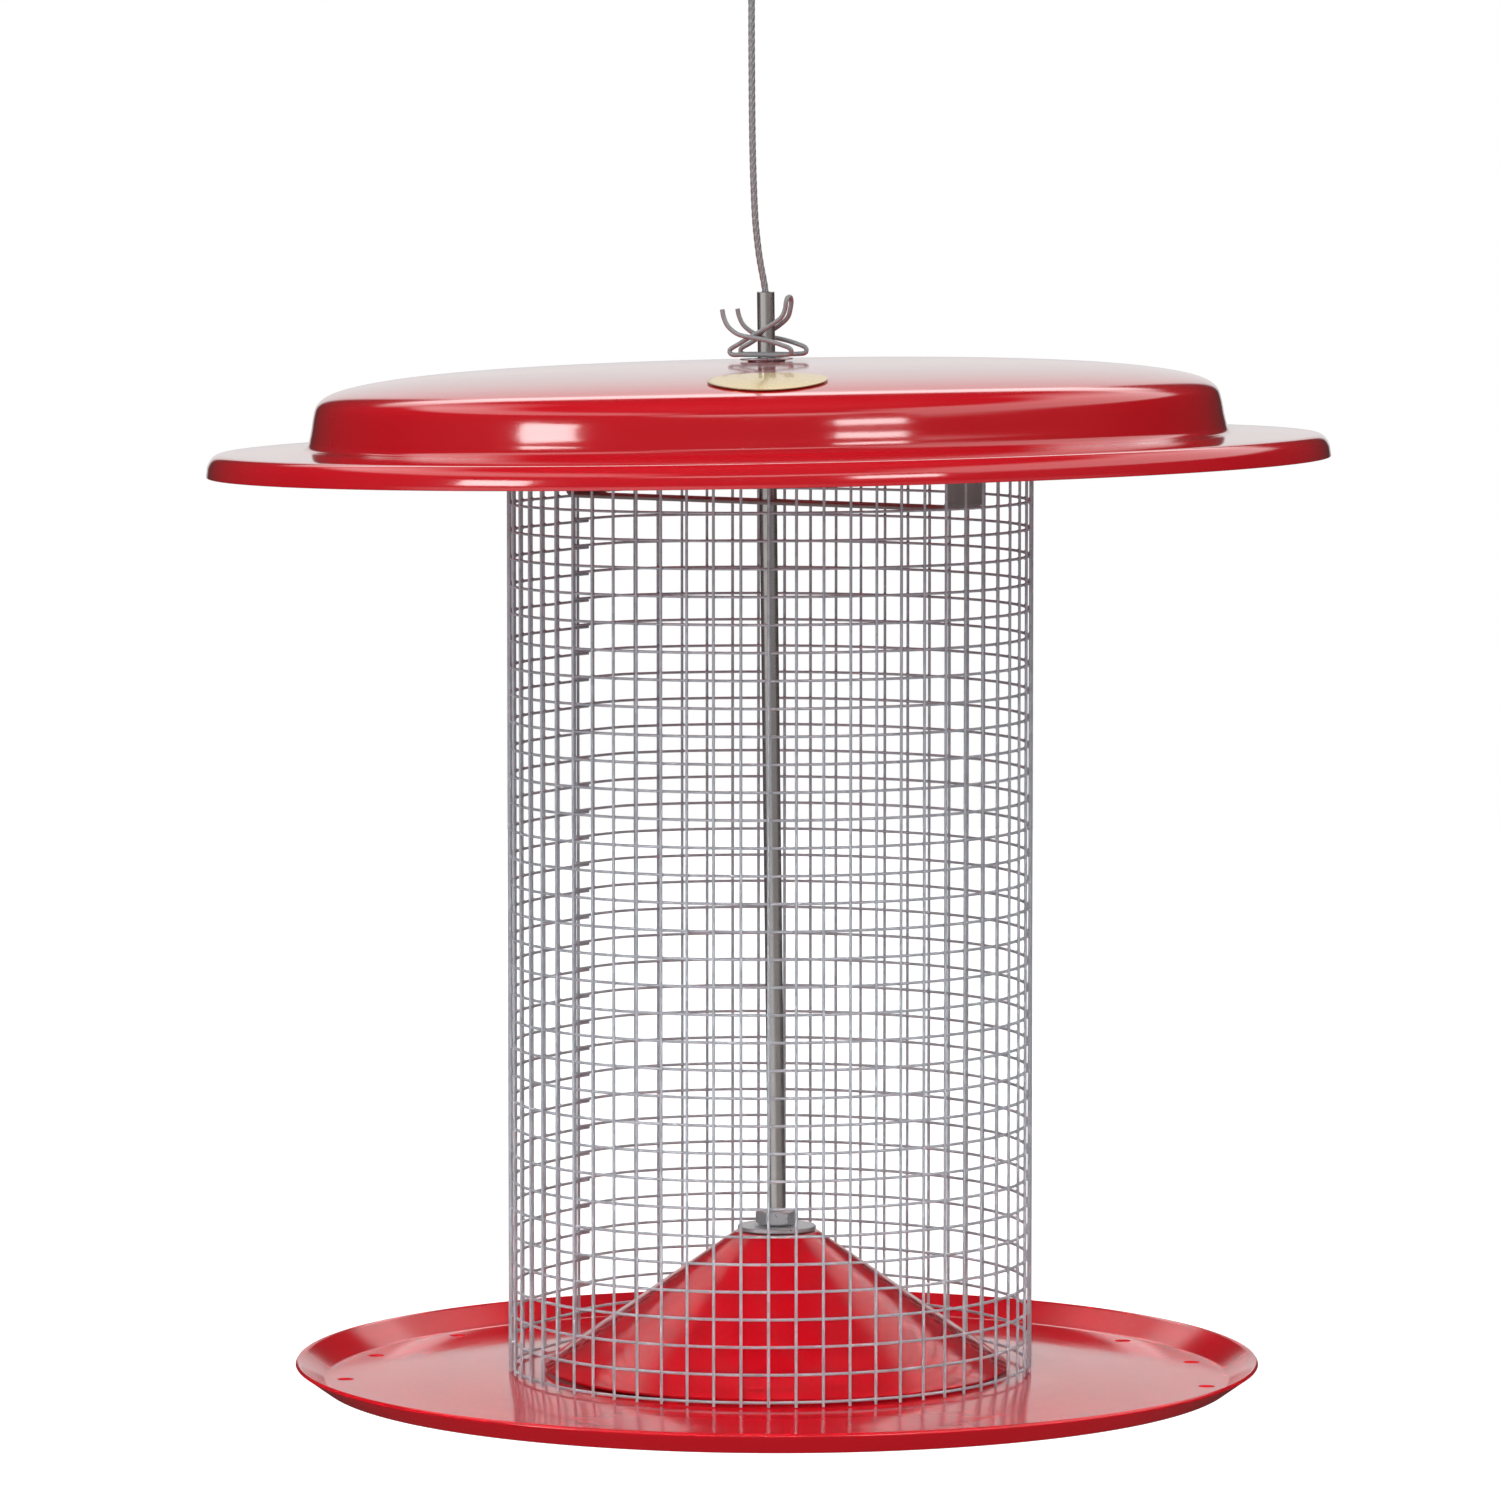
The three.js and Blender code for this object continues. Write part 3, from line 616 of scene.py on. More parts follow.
def baked_enamel(name, middle, coat, turn=(0, 0, 0)):
    """Baked enamel on spun aluminium: deep gloss red, the faintest orange peel, and the slow
    rings that spinning leaves in the sheet."""
    colours = bpy.context.scene.feeder_finishes
    material, tree, shader = blank_material(name)
    place = place_of(tree, middle, turn)
    # Thicker and thinner enamel in patches of about 40 mm
    patches = noise(tree, place, 25.0, 3.0)
    # Orange peel about 1.6 mm across
    peel = noise(tree, place, 600.0, 1.0)
    # Duller and brighter places about 17 mm across
    dust = noise(tree, place, 60.0, 4.0)
    # Spinning rings about 7 mm apart
    rings = add_node(
        tree,
        "ShaderNodeTexWave",
        {"Vector": place},
        {"Scale": 45.0, "Distortion": 1.5, "Detail": 1.0, "Detail Scale": 0.4},
        wave_type="RINGS",
        rings_direction="Z",
    )
    ripple = bumped(tree, rings.outputs["Fac"], 0.05, 0.0002)
    links = {
        "Base Color": two_tone(tree, patches, colours.enamel, colours.enamel_deep),
        "Normal": bumped(tree, peel, 0.05, 0.0001, Normal=ripple),
        "Roughness": uneven(tree, dust, 0.1, 0.15),
    }
    wire_up(tree, shader, links, {"IOR": 1.52, "Coat Weight": coat, "Coat Roughness": 0.09})
    return material


def galvanised_wire(name):
    """Hot-dip galvanised steel wire: dull blue-grey zinc with small crystals and a lumpy skin."""
    colours = bpy.context.scene.feeder_finishes
    material, tree, shader = blank_material(name)
    place = place_of(tree)
    # Zinc crystals about 2 mm across
    crystals = add_node(tree, "ShaderNodeTexVoronoi", {"Vector": place}, {"Scale": 500.0})
    lumps = noise(tree, place, 900.0, 2.0)
    links = {
        "Base Color": two_tone(
            tree, crystals.outputs["Color"], colours.galvanised, colours.galvanised_light
        ),
        "Normal": bumped(tree, lumps, 0.4, 0.0001),
        "Roughness": uneven(tree, lumps, 0.38, 0.52),
    }
    wire_up(tree, shader, links, {"Metallic": 0.35})
    return material


def plated_zinc(name):
    """Bright zinc plate on a stamped fastener: cool, slightly milky metal with fine tool marks."""
    zinc = bpy.context.scene.feeder_finishes.zinc
    material, tree, shader = blank_material(name)
    # Clouding about 1 mm across
    cloud = noise(tree, place_of(tree), 1000.0, 3.0)
    links = {"Roughness": uneven(tree, cloud, 0.26, 0.42)}
    wire_up(tree, shader, links, {"Base Color": (*zinc, 1), "Metallic": 0.7})
    return material


def drawn_metal(name, tone, metal, rough_low, rough_high, stretch=(1200.0, 1200.0, 12.0)):
    """Drawn metal with fine marks; on the stem under 1 mm apart and about 80 mm long."""
    material, tree, shader = blank_material(name)
    coordinates = add_node(tree, "ShaderNodeTexCoord")
    mapping = add_node(
        tree, "ShaderNodeMapping", {"Vector": coordinates.outputs["Object"]}, {"Scale": stretch}
    )
    marks = noise(tree, mapping.outputs["Vector"], 1.0, 2.0)
    links = {
        "Roughness": uneven(tree, marks, rough_low, rough_high),
        "Normal": bumped(tree, marks, 0.1, 0.00001),
    }
    wire_up(tree, shader, links, {"Base Color": (*tone, 1), "Metallic": metal})
    return material


def mill_strap(name):
    """Hot-rolled strap with thin mill scale: brown-grey, half dull, slightly mottled."""
    colours = bpy.context.scene.feeder_finishes
    material, tree, shader = blank_material(name)
    # Scale patches about 5 mm across
    patches = noise(tree, place_of(tree), 200.0, 4.0)
    darker = tuple(0.7 * share for share in colours.strap)
    links = {
        "Base Color": two_tone(tree, patches, colours.strap, darker),
        "Roughness": uneven(tree, patches, 0.35, 0.55),
    }
    wire_up(tree, shader, links, {"Metallic": 0.25})
    return material


def gold_foil(name, middle, turn, radius):
    """Gold foil sticker: pale satin metal film, darker at its cut edge."""
    colours = bpy.context.scene.feeder_finishes
    material, tree, shader = blank_material(name)
    place = place_of(tree, middle, turn)
    flat = add_node(tree, "ShaderNodeVectorMath", {0: place}, {1: (1, 1, 0)}, operation="MULTIPLY")
    away = add_node(tree, "ShaderNodeVectorMath", {0: flat.outputs["Vector"]}, operation="LENGTH")
    edge = spread(tree, away.outputs["Value"], radius * 0.965, radius * 0.985, 0.0, 1.0)
    # Foil grain about 0.8 mm across
    grain = noise(tree, place, 1200.0, 2.0)
    links = {
        "Base Color": two_tone(tree, edge, colours.foil, colours.foil_rim),
        "Roughness": uneven(tree, grain, 0.18, 0.28),
    }
    wire_up(tree, shader, links, {"Metallic": 0.35, "Coat Weight": 0.5, "Coat Roughness": 0.08})
    return material


def finish_piece(piece, material, body, slot_name, *nodes):
    """Gives a piece its material, the body that it rides on and the nodes that it stands for."""
    piece.data.materials.clear()
    piece.data.materials.append(material)
    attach(piece, body)
    if nodes:
        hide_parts(*nodes)


def stem_x(height):
    wires = bpy.context.scene.feeder_wires
    return -(height - wires.lean_height) * math.tan(wires.stem_lean)


def lid_seat():
    """Where the lid's own axis meets its lower edge, and the lid's turn."""
    spun = bpy.context.scene.feeder_spun
    apex = spun.lid_base + spun.dome_top
    x = stem_x(apex) + spun.dome_top * math.sin(spun.lid_tilt)
    height = apex - spun.dome_top * math.cos(spun.lid_tilt)
    return at_height(x, height), (0, -spun.lid_tilt, 0)


def dome_line(steps):
    """The dome's outer face from its middle to its edge, as radius and height."""
    spun = bpy.context.scene.feeder_spun
    edge = spun.dome / 2
    rise = spun.dome_top - spun.dome_edge
    pulls = (
        (0.0, spun.dome_top),
        (0.53 * edge, spun.dome_top),
        (0.854 * edge, spun.dome_edge + 0.745 * rise),
        (edge, spun.dome_edge),
    )
    line = []
    for step in range(steps + 1):
        t = step / steps
        weights = ((1 - t) ** 3, 3 * t * (1 - t) ** 2, 3 * t * t * (1 - t), t**3)
        line.append(tuple(sum(w * p[axis] for w, p in zip(weights, pulls)) for axis in (0, 1)))
    return line


def dome_height_at(radius):
    line = dome_line(200)
    for (r0, z0), (r1, z1) in zip(line, line[1:]):
        if r1 >= radius:
            return z0 + (z1 - z0) * (radius - r0) / (r1 - r0)
    return line[-1][1]


class FEEDER_OT_tray(bpy.types.Operator):
    """Spins the tray with its flared rim and drills its ring of drain holes"""

    bl_idname = "feeder.tray"
    bl_label = "Tray"

    def execute(self, context):
        spun = context.scene.feeder_spun
        # The skin is the sheet's inner face: the flared sheet's own thickness lies outside it
        outside, shy = 0.0005, 0.00005
        rim, floor = spun.tray_rim / 2 - outside, spun.tray_floor / 2
        slope = math.atan2(spun.tray_depth - spun.sheet, rim - floor)
        start = floor - spun.tray_bend * math.tan(slope / 2)
        level, seat, edge = spun.sheet + spun.tray_rise, spun.tray_seat / 2, start * 0.94
        outline = [(spun.centre_hole / 2, spun.sheet), (seat * 0.15, spun.sheet)]
        outline += [(seat * share, level) for share in (0.21, 0.4, 0.7, 0.97)]
        # The floor falls gently from the seat to the ring of drain holes
        for step in range(1, 11):
            share = step / 10
            fall = 0.6 * share + 0.4 * share * share * (3 - 2 * share)
            outline.append((seat + (edge - seat) * share, level - spun.tray_rise * fall))
        bend_middle = (start, spun.sheet + spun.tray_bend)
        outline += arc(bend_middle, spun.tray_bend, -90, -90 + math.degrees(slope), 5)
        outline += [(rim - spun.sheet, spun.tray_depth - spun.sheet * math.tan(slope))]
        outline += [(rim, spun.tray_depth - shy)]
        tray = turned_skin("tray_dish", outline, 192)
        sheet_metal(tray, spun.sheet, SHEET_EDGE)
        place = (0, spun.drain_ring / 2, spun.sheet / 2)
        drills = rod("drain_drills", 24, spun.drain_hole / 2, spun.sheet * 6, place)
        copy_round(spun.drain_count)
        settle(drills, turn=(0, 0, -spun.drain_phase))
        cut(tray, drills)
        smooth(tray)
        settle(tray, TRAY_MIDDLE)
        finish_piece(tray, baked_enamel("tray_enamel", TRAY_MIDDLE, 0.3), "frame", "red_enamel", "tray")
        return {"FINISHED"}


class FEEDER_OT_cone(bpy.types.Operator):
    """Spins the hollow seed cone that stands on the tray"""

    bl_idname = "feeder.cone"
    bl_label = "Seed cone"

    def execute(self, context):
        spun = context.scene.feeder_spun
        foot = spun.sheet + spun.tray_rise + spun.gap
        top = spun.cone_top / 2
        base = spun.cone_base / 2
        slope = math.degrees(math.atan2(spun.cone_height - foot, base - top))
        bend = spun.cone_bend
        start = top - bend * math.tan(math.radians(slope / 2))
        outline = [(spun.centre_hole / 2, spun.cone_height)]
        outline += arc((start, spun.cone_height - bend), bend, 90, 90 - slope, 5)
        reach, height = outline[-1]
        low = foot + spun.sheet * 1.05
        wide = base - SHEET_EDGE
        for share in (0.33, 0.66, 1.0):
            outline.append((reach + (wide - reach) * share, height + (low - height) * share))
        cone = turned_skin("seed_cone_shell", outline, 160)
        sheet_metal(cone, spun.sheet, FINE_EDGE)
        smooth(cone)
        settle(cone, TRAY_MIDDLE)
        enamel = baked_enamel("cone_enamel", TRAY_MIDDLE, 0.6)
        finish_piece(cone, enamel, "frame", "red_enamel", "seed_cone")
        return {"FINISHED"}


class FEEDER_OT_lid(bpy.types.Operator):
    """Spins the lid: dome, shoulder, crown wall, brim and turned-down edge"""

    bl_idname = "feeder.lid"
    bl_label = "Lid"

    def execute(self, context):
        spun = context.scene.feeder_spun
        edge = spun.lid_rim / 2
        edge_top = edge - spun.lid_flare
        foot = spun.crown_foot / 2
        shoulder = spun.shoulder / 2
        dome = spun.dome / 2
        rise = spun.dome_top - spun.dome_edge
        outline = [(spun.lid_hole / 2, dome_height_at(spun.lid_hole / 2))]
        outline += [point for point in dome_line(26) if point[0] > 0.007]
        pull = (shoulder - (shoulder - dome) * 0.1, spun.dome_edge - rise * 0.32)
        outline += quadratic(outline[-1], pull, (shoulder, spun.shoulder_height), 12)[1:]
        low = (foot - spun.lid_bend * 0.1, spun.crown_foot_height + spun.lid_bend)
        # The crown's wall is a little steeper halfway down than at its ends
        for step in range(1, 12):
            share = step / 12
            outward = share + 0.25 * math.sin(2 * math.pi * share) / (2 * math.pi)
            height = spun.shoulder_height + (low[1] - spun.shoulder_height) * share
            outline.append((shoulder + (low[0] - shoulder) * outward, height))
        slope = (spun.crown_foot_height - spun.lid_edge) / (edge_top - foot)
        out = (foot + spun.lid_bend, spun.crown_foot_height - spun.lid_bend * slope)
        outline += quadratic(low, (foot, spun.crown_foot_height), out, 8)
        turn_down = (edge_top - spun.lid_bend, spun.lid_edge + spun.lid_bend * slope)
        for share in (0.25, 0.5, 0.75):
            outline.append(tuple(a + (b - a) * share for a, b in zip(out, turn_down)))
        below = (edge_top + spun.lid_flare * 0.75, spun.lid_edge * 0.46)
        outline += quadratic(turn_down, (edge_top, spun.lid_edge), below, 8)
        outline += [(edge - spun.lid_flare * 0.1, spun.lid_edge * 0.2), (edge, 0.0)]
        lid = turned_skin("lid_cover", outline, 224)
        sheet_metal(lid, spun.sheet, SHEET_EDGE)
        smooth(lid)
        middle, turn = lid_seat()
        settle(lid, middle, turn)
        finish_piece(lid, baked_enamel("lid_enamel", middle, 1.0, turn), "cover", "red_enamel", "lid")
        return {"FINISHED"}


class FEEDER_OT_label(bpy.types.Operator):
    """Cuts the plain round foil label and lays it on the dome"""

    bl_idname = "feeder.label"
    bl_label = "Foil label"

    def execute(self, context):
        spun = context.scene.feeder_spun
        radius = spun.label / 2
        rings = [radius * share for share in (0.02, 0.2, 0.4, 0.6, 0.8, 0.9, 1.0)]
        label = turned_skin("foil_label", [(r, 0.0) for r in rings], 96)
        edit_where(label, lambda place: math.hypot(place.x, place.y) < radius * 0.05)
        bpy.ops.mesh.merge(type="CENTER")
        edit_done()
        face_up(label)
        for vertex in label.data.vertices:
            away = math.hypot(vertex.co.x, vertex.co.y - spun.label_offset)
            vertex.co.y -= spun.label_offset
            vertex.co.z = dome_height_at(away) + spun.gap + spun.label_thickness
        modifier(label, "SOLIDIFY", thickness=spun.label_thickness, offset=-1.0)
        smooth(label, 40)
        middle, turn = lid_seat()
        settle(label, middle, turn)
        spot = middle + Vector((0, -spun.label_offset, spun.dome_edge))
        foil = gold_foil("label_foil", spot, turn, radius)
        finish_piece(label, foil, "cover", "gold_foil", "lid_label")
        return {"FINISHED"}


class FEEDER_OT_eyelet(bpy.types.Operator):
    """Rolls the eyelet that lines the lid's hole"""

    bl_idname = "feeder.eyelet"
    bl_label = "Lid eyelet"

    def execute(self, context):
        spun, wires = context.scene.feeder_spun, context.scene.feeder_wires
        bore = wires.eyelet_bore / 2
        wall = wires.eyelet_wall
        barrel = bore + wall
        flange = wires.eyelet_flange / 2
        above = spun.dome_top + spun.gap
        below = dome_height_at(flange) - spun.sheet - spun.gap
        outline = [(bore, below - wall * 0.4), (bore + wall * 0.5, below - wall)]
        outline += [(flange - wall * 0.2, below - wall), (flange, below - wall * 0.5)]
        outline += [(flange - wall * 0.2, below), (barrel, below), (barrel, above)]
        outline += [(flange - wall * 0.2, above), (flange, above + wall * 0.5)]
        outline += [(flange - wall * 0.25, above + wall * 0.9), (barrel + wall, above + wall)]
        outline += [(bore + wall * 0.6, above + wall), (bore, above + wall * 0.3)]
        eyelet = turned_solid("eyelet_ring", outline, 72)
        middle, turn = lid_seat()
        settle(eyelet, middle, turn)
        finish_piece(eyelet, plated_zinc("eyelet_zinc"), "eyelet", "zinc_plate", "lid_eyelet")
        return {"FINISHED"}


class FEEDER_OT_mesh(bpy.types.Operator):
    """Rolls the welded mesh: upright wires, climbing rings and a lapped seam"""

    bl_idname = "feeder.mesh"
    bl_label = "Wire mesh"

    def execute(self, context):
        wires, spun = context.scene.feeder_wires, context.scene.feeder_spun
        step = 2 * math.pi / wires.wires_around
        outer = wires.mesh_across / 2
        ring_radius = outer - wires.wire * 1.45
        upright_radius = outer - wires.wire / 2
        seat = spun.sheet + spun.gap
        bottom = seat + spun.tray_rise
        top = seat + wires.pitch * (wires.rings - 0.5) + wires.stub
        first = seat + wires.pitch / 2
        lap = step * 0.72

        def climb(share):
            """How high a ring is at a share of its turn; both ends bend back towards the middle."""
            ease = min(1.0, 0.35 + 0.65 * min(share, 1 - share) * wires.wires_around / 2.5)
            return wires.seam_rise * (share - 0.5) * ease

        # One ring from beside the seam all the way round and back to it, climbing as it goes
        turns = 180
        sweep = 2 * math.pi + lap
        line = []
        for place in range(turns + 1):
            share = place / turns
            angle = wires.seam_turn - lap * 0.9 + sweep * share
            radius = ring_radius - wires.wire * 0.5 * max(0.0, (share - 0.97) / 0.03)
            height = first + climb(share)
            line.append(Vector((radius * math.cos(angle), radius * math.sin(angle), height)))
        rings = drawn_wire("mesh_rings", line, wires.wire, 1)
        copy_up(rings, wires.rings, wires.pitch)

        def upright(name, radius, angle):
            place = (radius * math.cos(angle), radius * math.sin(angle), (top + bottom) / 2)
            return rod(name, 8, wires.wire / 2, top - bottom, place)

        uprights = upright("mesh_uprights", upright_radius, 0.0)
        copy_round(wires.wires_around)
        settle(uprights, turn=(0, 0, wires.seam_turn))
        # The other edge's upright, close beside the first one
        beside = wires.seam_turn - step * 0.17
        second = upright("mesh_edge_upright", upright_radius - wires.wire * 0.2, beside)
        # A blob of zinc at one crossing, copied to all of them
        deselect()
        crossing = (outer - wires.wire, 0, first)
        bpy.ops.mesh.primitive_ico_sphere_add(
            subdivisions=1, radius=wires.wire * 0.62, location=crossing
        )
        welds = fresh_piece("mesh_welds")
        edit_all()
        bpy.ops.transform.resize(value=(1.0, 1.25, 1.25), center_override=crossing)
        edit_done()
        copy_round(wires.wires_around)
        settle(welds, turn=(0, 0, wires.seam_turn))
        for vertex in welds.data.vertices:
            angle = (math.atan2(vertex.co.y, vertex.co.x) - wires.seam_turn) % (2 * math.pi)
            vertex.co.z += climb(angle / (2 * math.pi))
        copy_up(welds, wires.rings, wires.pitch)
        for part in (rings, uprights, second, welds):
            smooth(part, 80)
        choose(rings)
        for part in (uprights, second, welds):
            part.select_set(True)
        bpy.ops.object.join()
        cylinder = context.object
        cylinder.name = "mesh_wires"
        settle(cylinder, at_height(-wires.mesh_shift, 0))
        zinc = galvanised_wire("mesh_zinc")
        finish_piece(cylinder, zinc, "frame", "galvanised_wire", "mesh_cylinder")
        return {"FINISHED"}


class FEEDER_OT_crossbar(bpy.types.Operator):
    """Bends the strap that crosses the mesh and carries the stem's guide hole"""

    bl_idname = "feeder.crossbar"
    bl_label = "Crossbar"

    def execute(self, context):
        wires = context.scene.feeder_wires
        reach = wires.bar_reach - wires.bar_thickness
        half = [(0.0, wires.bar_thickness)]
        bend_middle = (reach - wires.bar_bend, wires.bar_thickness + wires.bar_bend)
        half += arc(bend_middle, wires.bar_bend, -90, 0, 6)
        half += [(reach, wires.bar_tab * 0.6), (reach, wires.bar_tab)]
        path = [(-x, z) for x, z in reversed(half[1:])] + half
        # A plane's right edge is set at the path's start and drawn out along it
        deselect()
        bpy.ops.mesh.primitive_plane_add(size=wires.bar_width, location=(0, 0, 0))
        bar = fresh_piece("crossbar_strap")
        shift = path[0][0] - wires.bar_width / 2
        edit_all()
        bpy.ops.transform.translate(value=(shift, 0, path[0][1]))
        edit_done()
        edit_where(bar, lambda place: place.x < shift)
        bpy.ops.mesh.delete(type="VERT")
        bpy.ops.mesh.select_all(action="SELECT")
        for (x0, z0), (x1, z1) in zip(path, path[1:]):
            draw_out(x1 - x0, 0, z1 - z0)
        edit_done()
        sheet_metal(bar, wires.bar_thickness, DRAWN_EDGE, 60)
        cut(bar, rod("guide_drill", 40, wires.bar_hole / 2, wires.bar_width, (0, 0, 0)))
        smooth(bar)
        settle(bar, at_height(-wires.mesh_shift, wires.bar_height), (0, 0, wires.bar_turn))
        finish_piece(bar, mill_strap("crossbar_scale"), "frame", "bare_strap", "crossbar")
        return {"FINISHED"}


def washer_piece(name, outer, low):
    wires = bpy.context.scene.feeder_wires
    bore = wires.stem / 2 + CLEARANCE
    return turned_solid(name, ring_section(bore, outer, low, low + wires.washer, FINE_EDGE), 96)


def nut_piece(name, low):
    """A hexagon nut: its corners turned off on both faces, its bore countersunk."""
    wires = bpy.context.scene.feeder_wires
    corner = wires.nut_flats / math.sqrt(3)
    bore = wires.stem / 2 + CLEARANCE
    high = low + wires.nut_height
    thirty = math.radians(30)
    nut = rod(name, 6, corner, wires.nut_height, (0, 0, (low + high) / 2), thirty)
    drop = (corner - wires.nut_flats / 2) * math.tan(thirty) * 1.35
    flat = wires.nut_flats / 2 * 0.97
    sink, burr, edge = 0.00035, 0.0002, 0.00008
    outline = [(bore, low + burr), (bore + burr, low), (flat, low), (corner * 1.02, low + drop)]
    outline += [(corner * 1.02, high - drop), (flat, high), (bore + sink, high), (bore, high - sink)]
    form = turned_skin("nut_form", [*outline, outline[0]], 72)
    close_seams(form)
    cut(nut, form, "INTERSECT")
    break_edges(nut, edge, 30, 1)
    smooth(nut, 25)
    return nut


class FEEDER_OT_fasteners(bpy.types.Operator):
    """Makes the washers and nuts above the cone and below the tray"""

    bl_idname = "feeder.fasteners"
    bl_label = "Washers and nuts"

    def execute(self, context):
        wires, spun = context.scene.feeder_wires, context.scene.feeder_spun
        above = spun.cone_height + spun.gap
        below = -spun.gap - wires.washer
        under = at_height(stem_x(below - spun.gap), 0)
        rows = (
            (washer_piece("washer_on_cone", wires.cone_washer / 2, above), TRAY_MIDDLE, "cone_washer"),
            (nut_piece("nut_on_cone", above + wires.washer + spun.gap), TRAY_MIDDLE, "upper_nut"),
            (washer_piece("washer_under_tray", wires.tray_washer / 2, below), under, "tray_washer"),
            (nut_piece("nut_under_tray", below - spun.gap - wires.nut_height), under, "lower_nut"),
        )
        zinc = plated_zinc("fastener_zinc")
        for piece, place, node in rows:
            settle(piece, place)
            finish_piece(piece, zinc, "frame", "zinc_plate", node)
        return {"FINISHED"}


# The pressed stop under the stem and the sleeve under the loop: share of the height, of the width
STOP_SHARES = (
    (0.0, 0.93), (0.08, 1.0), (0.24, 1.0), (0.32, 0.9), (0.44, 0.9), (0.52, 1.0),
    (0.6, 0.9), (0.72, 0.9), (0.8, 1.0), (0.92, 1.0), (1.0, 0.93),
)
SLEEVE_SHARES = (
    (0.0, 0.94), (0.06, 1.0), (0.2, 1.0), (0.26, 0.9), (0.34, 0.9), (0.4, 1.0), (0.48, 0.9),
    (0.54, 0.9), (0.62, 1.0), (0.68, 0.9), (0.8, 1.0), (0.94, 1.0), (1.0, 0.94),
)
# How many marks there are in a metre across and along rope strands, pressed aluminium, spring wire
STRAND_MARKS = (900.0, 900.0, 200.0)
PRESSED_MARKS = (700.0, 700.0, 300.0)
SPRING_MARKS = (900.0, 900.0, 900.0)


class FEEDER_OT_stem(bpy.types.Operator):
    """Draws the stem tube and crimps the stop under it"""

    bl_idname = "feeder.stem"
    bl_label = "Stem"

    def execute(self, context):
        wires = context.scene.feeder_wires
        colours = context.scene.feeder_finishes
        outer, bore = wires.stem / 2, wires.stem_bore / 2
        high = (wires.stem_top + wires.stem_tail) / math.cos(wires.stem_lean)
        outline = ring_section(bore, outer, 0, high, DRAWN_EDGE)
        outline = [*outline[:4], (outer, high / 2), *outline[4:], (bore, high / 2)]
        tube = turned_solid("stem_steel", outline, 48)
        foot = at_height(stem_x(-wires.stem_tail), -wires.stem_tail)
        lean = (0, -wires.stem_lean, 0)
        settle(tube, foot, lean)
        steel = drawn_metal("stem_drawn_steel", colours.tube, 0.85, 0.12, 0.2)
        finish_piece(tube, steel, "frame", "drawn_steel", "stem_tube")
        hole = wires.rope / 2 + CLEARANCE
        top = -CLEARANCE
        low = top - wires.stop_length
        outline = [(hole, low + SHEET_EDGE), (hole + SHEET_EDGE, low)]
        for tall, wide in STOP_SHARES:
            outline.append((wires.stop / 2 * wide, low + wires.stop_length * tall))
        outline += [(hole + SHEET_EDGE, top), (hole, top - SHEET_EDGE)]
        crimp = turned_solid("crimped_stop", outline, 48, 50)
        settle(crimp, foot, lean)
        finish_piece(crimp, steel, "frame", "drawn_steel", "cable_stop")
        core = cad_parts["cable_in_stem"]
        core.data.materials.clear()
        strands = drawn_metal("core_strands", colours.rope, 0.5, 0.35, 0.5, STRAND_MARKS)
        core.data.materials.append(strands)
        return {"FINISHED"}


# The rope's free stretch from the stem's mouth to the sleeve, x and height in metres
ROPE_ROUTE = [
    (-0.00268, 0.2557), (-0.0028, 0.257), (-0.00308, 0.2588), (-0.00362, 0.2616),
    (-0.00418, 0.2649), (-0.00462, 0.2684), (-0.00498, 0.272), (-0.00524, 0.276),
    (-0.00547, 0.2815), (-0.00568, 0.2885), (-0.00582, 0.297), (-0.0059, 0.307),
    (-0.00595, 0.317), (-0.00595, 0.3225), (-0.00595, 0.3282),
]


def sleeve_piece(name):
    """Draws the sleeve's oval section upwards through its three pressed bands."""
    wires = bpy.context.scene.feeder_wires
    flat = (wires.sleeve_width - wires.sleeve_thickness) / 2
    deselect()
    bpy.ops.mesh.primitive_circle_add(
        vertices=48, radius=wires.sleeve_thickness / 2, fill_type="NGON", location=(0, 0, 0)
    )
    sleeve = fresh_piece(name)
    for vertex in sleeve.data.vertices:
        vertex.co.x += math.copysign(flat, vertex.co.x) if abs(vertex.co.x) > 1e-7 else 0.0
    edit_all()
    widen(SLEEVE_SHARES[0][1])
    for (level, wide), (next_level, next_wide) in zip(SLEEVE_SHARES, SLEEVE_SHARES[1:]):
        draw_out(0, 0, (next_level - level) * wires.sleeve_length)
        widen(next_wide / wide)
    edit_done()
    close_seams(sleeve)
    smooth(sleeve, 50)
    return sleeve


